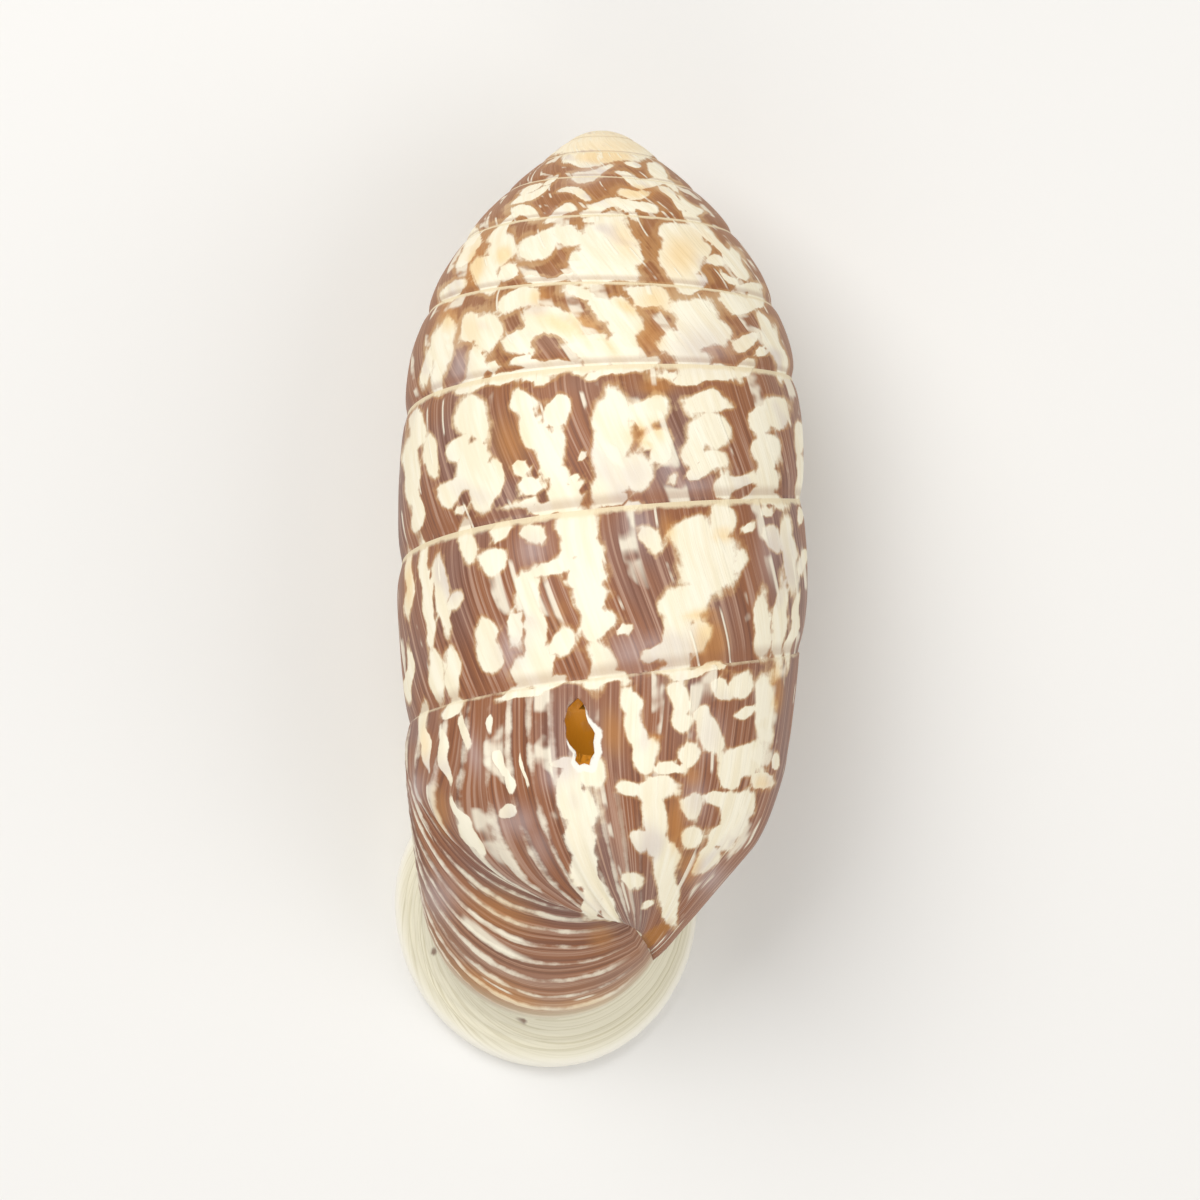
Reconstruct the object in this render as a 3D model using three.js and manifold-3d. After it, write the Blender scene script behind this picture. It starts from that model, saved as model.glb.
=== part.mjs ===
// A cerion snail shell, 29 mm long, lying on its aperture with the apex towards +Y.
// It grew as one piece: a tapering tube coiled to the right about nine times round the
// axis, with a flared lip round its mouth, an umbilical chink and a chipped hole.
//
// The shell is worked out in its own frame. The axis of the coil is the line x = z = 0,
// "depth" is the distance from the apex along that axis, and "turn" counts whorls of
// growth, with turn 0 on the +X side where the last suture starts. Growth runs from +X
// over the back (+Z) to -X, and the mouth opens towards -Z, down on the table.
import * as THREE from 'three';
import { mergeVertices } from 'three/addons/utils/BufferGeometryUtils.js';
import Module from 'manifold-3d';

const wasm = await Module();
wasm.setup();

// Driving dimensions, in millimetres and degrees.
const REST_TILT = 5; // the apex lies lower than the lip end by this angle
const BELLY_DEPTH = 9.1; // where the underside of the spire touches the table
const BELLY_FLAT = 0.05; // depth of the worn flat there
const WALL = 0.45; // thickness of the shell wall
// Slope of the coil against the axis of the outline, high on the spire and at its foot.
const COIL_LEAN = [0.08, 0.01];
const LEAN_TURNS = [-3.5, 0];
const FIRST_TURN = -9;
const SPIRE_END = -0.11; // turn where the last whorl's tube takes over from the spire
const TUBE_START = -0.15;
const TUBE_PROUD = 0.03; // the tube's face stands this far out over the spire's
const LUMEN_START = -0.12;
const CLOSING_TURN = 0.12; // from here the base of the last whorl closes over the umbilicus
const NECK_TURN = 0.46; // last growth line that still stands across the axis
const UMBILICUS_SHIFT = 1.1; // the growth lines meet this far beside the axis
const SHIFT_DEPTHS = [18.5, 25.5]; // the centre of growth moves over between these depths
const UMBILICUS_RADIUS = 0.45;
const COLUMELLA_FOOT = 23.7; // depth at which the solid columella ends

// Radius of the spire's outline against depth, from the apex to the base.
const SIDE_OUTLINE = [
  [0, 0], [0.1, 0.5], [0.48, 1.15], [0.96, 1.72], [1.92, 2.8], [2.88, 3.68], [3.85, 4.37],
  [4.8, 4.9], [5.77, 5.3], [7.2, 5.71], [9.1, 5.93], [11.1, 6.0], [13.9, 6.06],
  [15.9, 5.92], [17.8, 5.78], [19.9, 5.6], [30, 5],
];
// Depth of the suture, the top edge of each whorl, at every whole turn.
const SUTURE_DEPTHS = [
  [-9, 0], [-8, 0.05], [-7, 0.3], [-6, 0.85], [-5, 1.75], [-4, 2.95], [-3, 5.05],
  [-2, 7.3], [-1, 11.1], [0, 15.8], [1, 20.9],
];
// Outline of one whorl from its suture (0) to the umbilicus (1), as a share of the radius:
// a spire whorl, the last whorl where it starts, and the last whorl near the mouth.
const FULL_WHORL = [
  [0, 1], [0.52, 1], [0.56, 0.98], [0.62, 0.9], [0.7, 0.79], [0.8, 0.62], [0.88, 0.45],
  [0.95, 0.27], [1, 0.08],
];
const EARLY_WHORL = [
  [0, 1], [0.2, 0.965], [0.36, 0.922], [0.48, 0.842], [0.61, 0.715], [0.68, 0.606],
  [0.8, 0.407], [0.9, 0.245], [0.965, 0.145], [1, 0.08],
];
const LATE_WHORL = [
  [0, 1], [0.2, 1.01], [0.38, 1.0], [0.52, 0.94], [0.64, 0.84], [0.74, 0.72], [0.83, 0.57],
  [0.9, 0.42], [0.96, 0.25], [1, 0.08],
];
// How far down its height that last outline has come: it swells past the umbilicus.
const LATE_DESCENT = [
  [0, 0], [0.2, 0.2], [0.38, 0.38], [0.52, 0.54], [0.64, 0.7], [0.74, 0.83], [0.83, 0.93],
  [0.9, 1.0], [0.96, 1.03], [1, 1.02],
];
const WHORL_OVERLAP = 1.85; // height of a spire whorl down to its foot, in pitches
const UMBILICUS_DEPTH = 25.2; // the foot goes no further than this
const WHORL_BULGE = 0.1; // how far a whorl's side swells between its sutures
const SUTURE_NOTCH = 0.07;
const BASE_BURIED = 0.12; // a whorl's base stands this far inside the next whorl's wall
const ROOT_IN = 0.25; // the last whorl's upper edge is rooted in the whorl before it
const ROOT_UP = 0.15;

// The mouth, seen along Z: neck and lip are ellipses about one centre.
const MOUTH_X = -1.66;
const MOUTH_DEPTH = 23.3;
const NECK_HALF_WIDTH = 3.8;
const NECK_HALF_HEIGHT = 3.64;
const NECK_REACH = 10; // how far growth lines run on before they turn into the neck
const NECK_STRAIGHTENING = 4.2; // how strongly they arrive square to the table
const NECK_THINNING = 0.82; // the wall there against the wall elsewhere
const NECK_HEIGHT = 2.9; // of the narrowest ring, above the table
const CORNER_ANGLE = 135; // where the suture runs into the lip, from +X towards the apex
const CHINK_ANGLE = 324; // where the umbilicus lies behind the lip
// How far the lip flares out from the neck on each side.
const FLARE_LEFT = 1.1;
const FLARE_RIGHT = 0.9;
const FLARE_FOOT = 1.6;
const FLARE_TOP = 0.95;
// The lip from the neck over its back, round the rim and over the front into the mouth:
// [share of the flare, height above the table].
const LIP_PROFILE = [
  [0.07, 2.1], [0.24, 1.55], [0.5, 1.2], [0.8, 1.0], [0.97, 0.78], [1, 0.45],
  [0.9, 0.12], [0.72, 0], [0.36, 0], [0.08, 0.22], [-0.18, 0.7], [-0.3, 1.4],
];

// Growth ribs on the last part of the body whorl.
const RIB_START = 0.24;
const RIB_PITCH = 6.6 / 360;
const RIB_HEIGHT = 0.07;

// The chipped hole: its outline about its own centre, seen along Z.
const HOLE_X = -0.66;
const HOLE_DEPTH = 18.55;
const HOLE_FLOOR = 5.3; // it stops short of the whorl wall behind it, this far over the axis
const HOLE_OUTLINE = [
  [-0.3, -0.75], [-0.02, -1.0], [0.2, -0.7], [0.28, -0.3], [0.46, 0.0], [0.45, 0.55],
  [0.32, 0.92], [0.02, 0.9], [-0.1, 0.75], [-0.08, 0.5], [-0.38, 0.1], [-0.42, -0.35],
];

// The tooth and the fold inside the mouth: place across, depth, height above the table,
// half sizes and slant.
const TOOTH = [-1.6, 19.95, 2.4, [0.28, 0.55, 1.3], 0];
const FOLD = [1.35, 22.6, 2.8, [0.45, 0.3, 1.4], -20];

// How finely each surface is divided.
const SPIRE_STEPS = 32; // to a turn
const SIDE_ROWS = 4; // between two sutures
const BASE_ROWS = 4;
const LOOP_OUTER = 14; // round one growth line: outer wall and base
const LOOP_COLUMELLA = 4;
const LOOP_PARIETAL = 8;
const TUBE_STEP = 11.25 / 360;
const NECK_STEPS = 10;
const INNER_NECK_STEPS = 7;
const CHAMBER_TURNS = 3; // how far the chamber is followed up the spire
const CHAMBER_STEPS = 14;
const SMALLEST_EDGE = 0.02;

const DEG = Math.PI / 180;
const lerp = THREE.MathUtils.lerp;
const smooth = (x, low, high) => THREE.MathUtils.smoothstep(x, low, high);

// A smooth curve through [x, y] points: cubic pieces with slopes limited so that the
// curve never swings past its points.
function curveThrough(points) {
  const slope = [];
  for (let i = 0; i < points.length - 1; i += 1) {
    slope.push((points[i + 1][1] - points[i][1]) / (points[i + 1][0] - points[i][0]));
  }
  const tangent = points.map((_, i) => {
    if (i === 0) return slope[0];
    if (i === points.length - 1) return slope[i - 1];
    const [a, b] = [slope[i - 1], slope[i]];
    return a * b <= 0 ? 0 : (2 * a * b) / (a + b);
  });
  return (x) => {
    let i = 0;
    while (i < points.length - 2 && x > points[i + 1][0]) i += 1;
    const [x0, y0] = points[i];
    const [x1, y1] = points[i + 1];
    const h = x1 - x0;
    const s = THREE.MathUtils.clamp((x - x0) / h, 0, 1);
    const s2 = s * s;
    const s3 = s2 * s;
    return (2 * s3 - 3 * s2 + 1) * y0 + (s3 - 2 * s2 + s) * h * tangent[i]
      + (3 * s2 - 2 * s3) * y1 + (s3 - s2) * h * tangent[i + 1];
  };
}

const sideRadius = curveThrough(SIDE_OUTLINE);
const levelSuture = curveThrough(SUTURE_DEPTHS);
const fullWhorl = curveThrough(FULL_WHORL);
const earlyWhorl = curveThrough(EARLY_WHORL);
const lateWhorl = curveThrough(LATE_WHORL);
const lateDescent = curveThrough(LATE_DESCENT);

// Depth of the suture at a turn. The coil leans a little to one side.
function sutureDepth(turn) {
  const level = levelSuture(turn);
  const lean = lerp(...COIL_LEAN, smooth(turn, ...LEAN_TURNS));
  return level + lean * sideRadius(level) * Math.cos(turn * 2 * Math.PI);
}

// A point of the shell from its radius and depth at a turn. Towards the base the centre
// of growth moves over to the umbilicus.
function place(radius, depth, turn) {
  const centre = UMBILICUS_SHIFT * smooth(depth, ...SHIFT_DEPTHS);
  const angle = turn * 2 * Math.PI;
  return new THREE.Vector3(
    centre + radius * Math.cos(angle),
    -depth,
    radius * Math.sin(angle),
  );
}

// The side of a spire whorl between its suture (0) and the next one (1).
function whorlSide(turn, share) {
  const depth = lerp(sutureDepth(turn), sutureDepth(turn + 1), share);
  const size = sideRadius(depth) / 6;
  const edge = Math.exp(-((share / 0.07) ** 2)) + Math.exp(-(((1 - share) / 0.1) ** 2));
  const swell = WHORL_BULGE * 4 * share * (1 - share) - SUTURE_NOTCH * edge;
  return [Math.max(0, sideRadius(depth) + swell * size), depth];
}

// Height of a whorl from its suture to its foot, which comes to rest at the umbilicus.
function whorlHeight(turn) {
  const pitch = sutureDepth(turn + 1) - sutureDepth(turn);
  const free = sutureDepth(turn) + pitch * WHORL_OVERLAP;
  const foot = UMBILICUS_DEPTH - Math.log(1 + Math.exp(3 * (UMBILICUS_DEPTH - free))) / 3;
  return foot - sutureDepth(turn);
}

// The outer line of a whorl from its suture (0) to the umbilicus (1).
function whorlOutline(turn, share) {
  const closing = smooth(turn, CLOSING_TURN, NECK_TURN);
  const descent = lerp(share, lateDescent(share), closing);
  const depth = sutureDepth(turn) + descent * whorlHeight(turn);
  const top = sideRadius(sutureDepth(turn)) - 0.02;
  const opening = smooth(turn, -0.55, -0.12);
  const last = lerp(earlyWhorl(share), lateWhorl(share), closing);
  const spire = fullWhorl(share) * (sideRadius(depth) / top) + 0.012 * Math.sin(Math.PI * share);
  return [top * lerp(spire, last, opening), depth];
}

// How far ahead in growth the top of a growth line is, against its foot.
const growthLean = (share) => lerp(0.028, -0.02, smooth(share, 0, 0.75));

// One growth line of the tube as a closed loop in (radius, depth), with its lean:
// outer wall and base, up the columella, and back over the whorl before it.
function growthLoop(turn) {
  const loop = [];
  for (let i = 0; i < LOOP_OUTER; i += 1) {
    const share = i / LOOP_OUTER;
    const [radius, depth] = whorlOutline(turn, share);
    const rooted = i === 0 ? 1 : 0;
    loop.push([radius - rooted * ROOT_IN, depth - rooted * ROOT_UP, growthLean(share)]);
  }
  const foot = sutureDepth(turn) + whorlHeight(turn);
  const head = sutureDepth(turn - 1) + whorlHeight(turn - 1);
  for (let i = 0; i < LOOP_COLUMELLA; i += 1) {
    const share = i / LOOP_COLUMELLA;
    loop.push([UMBILICUS_RADIUS, lerp(foot, head, share), growthLean(1)]);
  }
  const met = (sutureDepth(turn) - sutureDepth(turn - 1)) / whorlHeight(turn - 1);
  for (let i = 0; i < LOOP_PARIETAL; i += 1) {
    const share = lerp(1, met, i / LOOP_PARIETAL);
    const lean = lerp(growthLean(1), growthLean(0), i / LOOP_PARIETAL);
    loop.push([...whorlOutline(turn - 1, share), lean]);
  }
  return loop;
}

// The loop drawn in by a distance towards its own middle.
function drawnIn(loop, distance) {
  const middle = [0, 1].map((k) => loop.reduce((sum, p) => sum + p[k], 0) / loop.length);
  return loop.map(([radius, depth, lean]) => {
    const away = Math.hypot(radius - middle[0], depth - middle[1]);
    const keep = Math.max(0.2, 1 - distance / away);
    return [lerp(middle[0], radius, keep), lerp(middle[1], depth, keep), lean];
  });
}

// A ring of 3D points across the tube at a turn, drawn in from its outer face. Ribs
// stand on the outer wall and fade out towards the suture and the umbilicus.
function tubeRing(turn, inset, rib = 0) {
  return drawnIn(growthLoop(turn), inset).map(([radius, depth, lean], i) => {
    const share = Math.min(1, i / LOOP_OUTER);
    const height = rib * smooth(share, 0, 0.12) * (1 - smooth(share, 0.9, 1));
    return place(radius + height, depth, turn + lean);
  });
}

// Distance of the table from the axis at a depth.
const tableDistance = (depth) => sideRadius(BELLY_DEPTH) + WHORL_BULGE - BELLY_FLAT
  + Math.tan(REST_TILT * DEG) * (depth - BELLY_DEPTH);

// Angle round the mouth of each point of a growth loop, from +X towards the apex.
function mouthAngle(i) {
  const outer = LOOP_OUTER;
  const rest = LOOP_COLUMELLA + LOOP_PARIETAL;
  if (i <= outer) return lerp(CORNER_ANGLE, CHINK_ANGLE, i / outer) * DEG;
  return lerp(CHINK_ANGLE, CORNER_ANGLE + 360, (i - outer) / rest) * DEG;
}

// A ring of the mouth: the neck's ellipse widened by a share of the flare, at a height
// above the table.
function mouthRing(flareShare, height, inset = 0) {
  const ring = [];
  for (let i = 0; i < LOOP_OUTER + LOOP_COLUMELLA + LOOP_PARIETAL; i += 1) {
    const angle = mouthAngle(i);
    const [across, up] = [Math.cos(angle), Math.sin(angle)];
    const sideFlare = across < 0 ? FLARE_LEFT : FLARE_RIGHT;
    const endFlare = up < 0 ? FLARE_FOOT : FLARE_TOP;
    const x = MOUTH_X + across * (NECK_HALF_WIDTH + flareShare * sideFlare - inset);
    const depth = MOUTH_DEPTH - up * (NECK_HALF_HEIGHT + flareShare * endFlare - inset);
    ring.push(new THREE.Vector3(x, -depth, height - tableDistance(depth)));
  }
  return ring;
}

// Rings that carry the tube on from its last growth line across the axis, round into
// the neck. Each point follows a cubic that leaves along the coil and arrives
// square to the table.
function neckRings(steps, inset, ribHeight) {
  const start = tubeRing(NECK_TURN, inset);
  const before = tubeRing(NECK_TURN - 0.01, inset);
  const end = mouthRing(0, NECK_HEIGHT, inset * NECK_THINNING);
  const rings = [];
  for (let k = 1; k <= steps; k += 1) {
    const s = k / steps;
    const rib = ribHeight * (k % 2) * (1 - smooth(s, 0.7, 1));
    rings.push(start.map((from, i) => {
      const to = end[i];
      const leave = from.clone().sub(before[i]).multiplyScalar(NECK_REACH);
      const arrive = new THREE.Vector3(0, 0, -NECK_STRAIGHTENING);
      const s2 = s * s;
      const s3 = s2 * s;
      const point = from.clone().multiplyScalar(2 * s3 - 3 * s2 + 1)
        .addScaledVector(leave, s3 - 2 * s2 + s)
        .addScaledVector(to, 3 * s2 - 2 * s3)
        .addScaledVector(arrive, s3 - s2);
      const share = Math.min(1, i / LOOP_OUTER);
      const height = rib * smooth(share, 0, 0.15) * (1 - smooth(share, 0.85, 1));
      const outward = point.clone().sub(new THREE.Vector3(MOUTH_X, -MOUTH_DEPTH, point.z));
      return point.addScaledVector(outward.normalize(), height);
    }));
  }
  return rings;
}

// A closed surface through rings of points, ended by a fan at each end.
function skinOver(rings) {
  const count = rings[0].length;
  const points = rings.flat();
  const faces = [];
  for (let k = 0; k < rings.length - 1; k += 1) {
    for (let i = 0; i < count; i += 1) {
      const j = (i + 1) % count;
      const [a, b, c, d] = [k * count + i, k * count + j, (k + 1) * count + j, (k + 1) * count + i];
      faces.push([a, b, c], [a, c, d]);
    }
  }
  [0, rings.length - 1].forEach((k, end) => {
    const hub = points.length;
    const middle = rings[k].reduce((sum, p) => sum.add(p), new THREE.Vector3());
    points.push(middle.divideScalar(count));
    for (let i = 0; i < count; i += 1) {
      const [a, b] = [k * count + i, k * count + (i + 1) % count];
      faces.push(end === 0 ? [b, a, hub] : [a, b, hub]);
    }
  });
  return geometryOf(points, faces);
}

function geometryOf(points, faces) {
  const geometry = new THREE.BufferGeometry();
  const flat = points.flatMap((p) => p.toArray());
  geometry.setAttribute('position', new THREE.Float32BufferAttribute(flat, 3));
  geometry.setIndex(faces.flat());
  return geometry;
}

// A closed three.js geometry as a solid to join and cut, turned outside out if its
// faces point in.
function solidOf(geometry) {
  const bare = geometry.clone();
  bare.deleteAttribute('normal');
  bare.deleteAttribute('uv');
  const merged = mergeVertices(bare, 1e-5);
  const triVerts = Uint32Array.from(merged.index.array);
  const vertProperties = Float32Array.from(merged.attributes.position.array);
  const kept = [];
  for (let i = 0; i < triVerts.length; i += 3) {
    const [a, b, c] = triVerts.slice(i, i + 3);
    if (a !== b && b !== c && c !== a) kept.push(a, b, c);
  }
  let volume = 0;
  const corner = (i) => new THREE.Vector3().fromArray(vertProperties, kept[i] * 3);
  for (let i = 0; i < kept.length; i += 3) {
    volume += corner(i).dot(corner(i + 1).cross(corner(i + 2)));
  }
  if (volume < 0) kept.reverse();
  const mesh = new wasm.Mesh({ numProp: 3, vertProperties, triVerts: Uint32Array.from(kept) });
  return new wasm.Manifold(mesh);
}

// The spire: one sheet wound round the axis from the apex, each whorl's lower edge being
// the next one's upper edge. The last turn runs on over its base to the columella.
function spireSolid() {
  const rowCount = Math.round((SPIRE_END - FIRST_TURN) * SPIRE_STEPS);
  const turnOf = (k) => SPIRE_END - (rowCount - k) / SPIRE_STEPS;
  const points = [];
  const rows = [];
  const add = (p) => points.push(p) - 1;
  const apex = add(new THREE.Vector3(0, 0, 0));
  const foot = add(place(0, COLUMELLA_FOOT, 0));
  for (let k = 0; k <= rowCount; k += 1) {
    const turn = turnOf(k);
    const row = [];
    for (let i = 0; i <= SIDE_ROWS; i += 1) {
      if (k === 0) {
        row.push(apex);
      } else if (i === 0) {
        row.push(k < SPIRE_STEPS ? apex : rows[k - SPIRE_STEPS][SIDE_ROWS]);
      } else {
        const [radius, depth] = whorlSide(turn, i / SIDE_ROWS);
        const [last] = whorlOutline(turn, (depth - sutureDepth(turn)) / whorlHeight(turn));
        row.push(add(place(lerp(radius, last, smooth(turn, -0.5, -0.13)), depth, turn)));
      }
    }
    if (k >= rowCount - SPIRE_STEPS) {
      const met = (sutureDepth(turn + 1) - sutureDepth(turn)) / whorlHeight(turn);
      const buried = BASE_BURIED * (1 - smooth(turn, -0.6, -0.45));
      for (let i = 1; i <= BASE_ROWS; i += 1) {
        const [radius, depth] = whorlOutline(turn, lerp(met, 1, i / BASE_ROWS));
        row.push(add(place(radius + buried, depth + buried, turn)));
      }
      row.push(foot);
    }
    rows.push(row);
  }
  const faces = [];
  for (let k = 0; k < rowCount; k += 1) {
    const [here, next] = [rows[k], rows[k + 1]];
    const last = Math.min(here.length, next.length) - 1;
    for (let i = 0; i < last; i += 1) {
      faces.push([here[i], here[i + 1], next[i + 1]], [here[i], next[i + 1], next[i]]);
    }
  }
  // The cut end: from the outline of the last row back along the base one turn before.
  const outer = rows[rowCount];
  const inner = rows[rowCount - SPIRE_STEPS].slice(SIDE_ROWS);
  const rim = [...outer, ...inner.slice(1, -1).reverse()];
  const angle = turnOf(rowCount) * 2 * Math.PI;
  const flat = rim.map((index) => {
    const p = points[index];
    return new THREE.Vector2(p.x * Math.cos(angle) + p.z * Math.sin(angle), p.y);
  });
  THREE.ShapeUtils.triangulateShape(flat, []).forEach(([a, b, c]) => {
    faces.push([rim[a], rim[c], rim[b]]);
  });
  return solidOf(geometryOf(points, faces));
}

// Turns at which the last whorl's tube is drawn: plain steps, then crest and trough of
// each rib.
function tubeTurns() {
  const turns = [];
  for (let t = TUBE_START; t < RIB_START - 0.001; t += TUBE_STEP) turns.push([t, 0]);
  for (let t = RIB_START, k = 0; t < NECK_TURN - 0.004; t += RIB_PITCH / 2, k += 1) {
    turns.push([t, k % 2]);
  }
  turns.push([NECK_TURN, 0]);
  return turns;
}

// The last whorl with its neck and lip, thick-walled: over the outside to the lip, and
// back down the inside of the tube.
function tubeSolid() {
  const rings = tubeTurns().map(([turn, crest]) => {
    const inset = turn < SPIRE_END ? WALL / 3 : -TUBE_PROUD;
    return tubeRing(turn, inset, crest * RIB_HEIGHT);
  });
  rings.push(...neckRings(NECK_STEPS, 0, RIB_HEIGHT));
  rings.push(...LIP_PROFILE.map(([share, height]) => mouthRing(share, height)));
  const inside = neckRings(INNER_NECK_STEPS, WALL, 0).reverse();
  for (let turn = NECK_TURN; turn > LUMEN_START; turn -= TUBE_STEP * 1.5) {
    inside.push(tubeRing(turn, WALL));
  }
  rings.push(...inside);
  return solidOf(skinOver(rings));
}

// The space to clear in the spire for the tube: it ends inside the tube's own wall.
function clearanceSolid() {
  const rings = [];
  for (let turn = LUMEN_START - 0.01; turn < NECK_TURN; turn += TUBE_STEP * 1.5) {
    rings.push(tubeRing(turn, WALL / 2));
  }
  rings.push(tubeRing(NECK_TURN, WALL / 2), ...neckRings(INNER_NECK_STEPS, WALL / 2, 0));
  rings.push(mouthRing(0, 0.5, WALL / 2), mouthRing(0, -1, WALL / 2));
  return solidOf(skinOver(rings));
}

// The chamber further up the spire, which the animal left behind.
function chamberSolid() {
  const rings = [];
  for (let k = 0; k <= CHAMBER_TURNS * CHAMBER_STEPS; k += 1) {
    const turn = -0.06 - k / CHAMBER_STEPS;
    const size = (sutureDepth(turn + 1) - sutureDepth(turn)) / 4.8;
    rings.push(tubeRing(turn, WALL * 1.15 * Math.min(1, 0.5 + 0.5 * size)).filter((_, i) => i % 2 === 0));
  }
  return solidOf(skinOver(rings));
}

// The chipped hole in the back of the last whorl, cut square through its wall
// and no further.
function holeSolid() {
  const outline = HOLE_OUTLINE.map(([x, depth]) => new THREE.Vector2(HOLE_X + x, -HOLE_DEPTH - depth));
  const shape = new THREE.Shape(outline);
  const cutter = new THREE.ExtrudeGeometry(shape, { depth: 2, bevelEnabled: false });
  cutter.translate(0, 0, HOLE_FLOOR);
  return solidOf(cutter);
}

// The tooth on the parietal wall and the fold on the columella, just inside the mouth.
function toothSolid(x, depth, height, size, slant) {
  const tooth = new THREE.SphereGeometry(1, 14, 8);
  tooth.scale(...size);
  tooth.rotateZ(slant * DEG);
  tooth.translate(x, -depth, height - tableDistance(depth));
  return solidOf(tooth);
}

// Everything under the table, which wears the resting places flat.
function tableSolid() {
  const block = new THREE.BoxGeometry(60, 60, 20);
  block.translate(0, -15, -10);
  return solidOf(block);
}

function cerionShell() {
  let shell = spireSolid().subtract(clearanceSolid()).add(tubeSolid());
  shell = shell.subtract(chamberSolid());
  shell = shell.add(toothSolid(...TOOTH));
  shell = shell.add(toothSolid(...FOLD));
  shell = shell.subtract(holeSolid());
  const mesh = shell.getMesh();
  const geometry = new THREE.BufferGeometry();
  geometry.setAttribute('position', new THREE.BufferAttribute(mesh.vertProperties, 3));
  geometry.setIndex(new THREE.BufferAttribute(mesh.triVerts, 1));
  // Laid down on the table, the apex lower than the lip end. Crumbs left between walls
  // are dropped.
  geometry.translate(0, BELLY_DEPTH, tableDistance(BELLY_DEPTH));
  geometry.rotateX(-REST_TILT * DEG);
  const pieces = solidOf(geometry).subtract(tableSolid()).simplify(SMALLEST_EDGE).decompose();
  const laid = pieces.reduce((a, b) => (b.volume() > a.volume() ? b : a)).getMesh();
  const worn = new THREE.BufferGeometry();
  worn.setAttribute('position', new THREE.BufferAttribute(laid.vertProperties, 3));
  worn.setIndex(new THREE.BufferAttribute(laid.triVerts, 1));
  return worn;
}

const material = new THREE.MeshStandardMaterial({ color: 0xc9a27e, roughness: 0.35, metalness: 0 });
const geometry = cerionShell();
geometry.computeBoundingBox();
const box = geometry.boundingBox;
geometry.translate(-(box.min.x + box.max.x) / 2, -(box.min.y + box.max.y) / 2, 0);

const shell = new THREE.Mesh(geometry, material);
shell.name = 'shell';
const group = new THREE.Group();
group.add(shell);
export default group;
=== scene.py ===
"""The looks of a cerion snail shell, lying on its mouth with the apex towards +Y."""
import math
from types import SimpleNamespace
import bpy
import numpy as np
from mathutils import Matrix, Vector, kdtree


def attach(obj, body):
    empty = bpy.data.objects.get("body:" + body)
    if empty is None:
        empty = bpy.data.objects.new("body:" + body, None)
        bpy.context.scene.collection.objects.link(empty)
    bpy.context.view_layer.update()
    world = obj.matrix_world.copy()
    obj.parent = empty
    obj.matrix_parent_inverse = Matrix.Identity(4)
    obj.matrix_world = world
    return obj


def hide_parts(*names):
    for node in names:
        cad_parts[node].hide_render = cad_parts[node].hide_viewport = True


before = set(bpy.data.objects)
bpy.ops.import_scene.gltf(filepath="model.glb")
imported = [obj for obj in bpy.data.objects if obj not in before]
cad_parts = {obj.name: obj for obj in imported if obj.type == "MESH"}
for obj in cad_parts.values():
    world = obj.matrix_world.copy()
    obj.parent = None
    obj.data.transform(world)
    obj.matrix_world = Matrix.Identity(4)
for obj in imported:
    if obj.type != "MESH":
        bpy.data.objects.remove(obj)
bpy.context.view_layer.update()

bl_info = {
    "name": "Cerion shell",
    "version": (1, 0, 0),
    "blender": (4, 5, 0),
    "location": "3D View > Sidebar > Shell",
    "description": "Builds a right-coiled cerion shell with its ribs, lip, markings and chipped hole",
    "category": "Add Mesh",
}

MM = 0.001
TAU = 2 * math.pi

# Where the coil's axis and apex stand in the frame, in millimetres.
AXIS_X = 0.2061
APEX_Y = 4.9442

# The shell in its own frame, in millimetres. The axis of the coil is the line x = z = 0,
# depth is the distance from the apex along it, and turn counts whorls of growth from the
# +X side where the last suture starts, over the back to -X.
REST_TILT = math.radians(5)
BELLY_DEPTH = 9.1
BELLY_FLAT = 0.05
WALL = 0.45
FULL_RADIUS = 6
# Slope of the coil against the outline's axis, high on the spire and at its foot.
COIL_LEAN = (0.08, 0.01)
LEAN_TURNS = (-3.5, 0)
# The turns between which each part of the shell is drawn or passes into the next.
FIRST_TURN = -9
SPIRE_END = -0.11
TUBE_START = -0.15
LUMEN_START = -0.12
CHAMBER_START = -0.06
CLOSING_TURN = 0.12
NECK_TURN = 0.46
LAST_OUTLINE_TURNS = (-0.55, -0.12)
SIDE_BLEND_TURNS = (-0.5, -0.13)
BURYING_TURNS = (-0.6, -0.45)
UMBILICUS_RADIUS = 0.45
SHIFT_DEPTHS = (18.5, 25.5)
COLUMELLA_FOOT = 23.7

# Radius of the spire's outline against depth.
SIDE_OUTLINE = [
    (0, 0), (0.1, 0.5), (0.48, 1.15), (0.96, 1.72), (1.92, 2.8), (2.88, 3.68), (3.85, 4.37),
    (4.8, 4.9), (5.77, 5.3), (7.2, 5.71), (9.1, 5.93), (11.1, 6.0), (13.9, 6.06),
    (15.9, 5.92), (17.8, 5.78), (19.9, 5.6), (30, 5),
]
# Depth of the suture at every whole turn.
SUTURE_DEPTHS = [
    (-9, 0), (-8, 0.05), (-7, 0.3), (-6, 0.85), (-5, 1.75), (-4, 2.95), (-3, 5.05),
    (-2, 7.3), (-1, 11.1), (0, 15.8), (1, 20.9),
]
# Outline of a whorl from its suture (0) to its foot (1), as a share of the radius.
FULL_WHORL = [
    (0, 1), (0.52, 1), (0.56, 0.98), (0.62, 0.9), (0.7, 0.79), (0.8, 0.62), (0.88, 0.45),
    (0.95, 0.27), (1, 0.08),
]
EARLY_WHORL = [
    (0, 1), (0.2, 0.965), (0.36, 0.922), (0.48, 0.842), (0.61, 0.715), (0.68, 0.606),
    (0.8, 0.407), (0.9, 0.245), (0.965, 0.145), (1, 0.08),
]
LATE_WHORL = [
    (0, 1), (0.2, 1.01), (0.38, 1.0), (0.52, 0.94), (0.64, 0.84), (0.74, 0.72), (0.83, 0.57),
    (0.9, 0.42), (0.96, 0.25), (1, 0.08),
]
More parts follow.
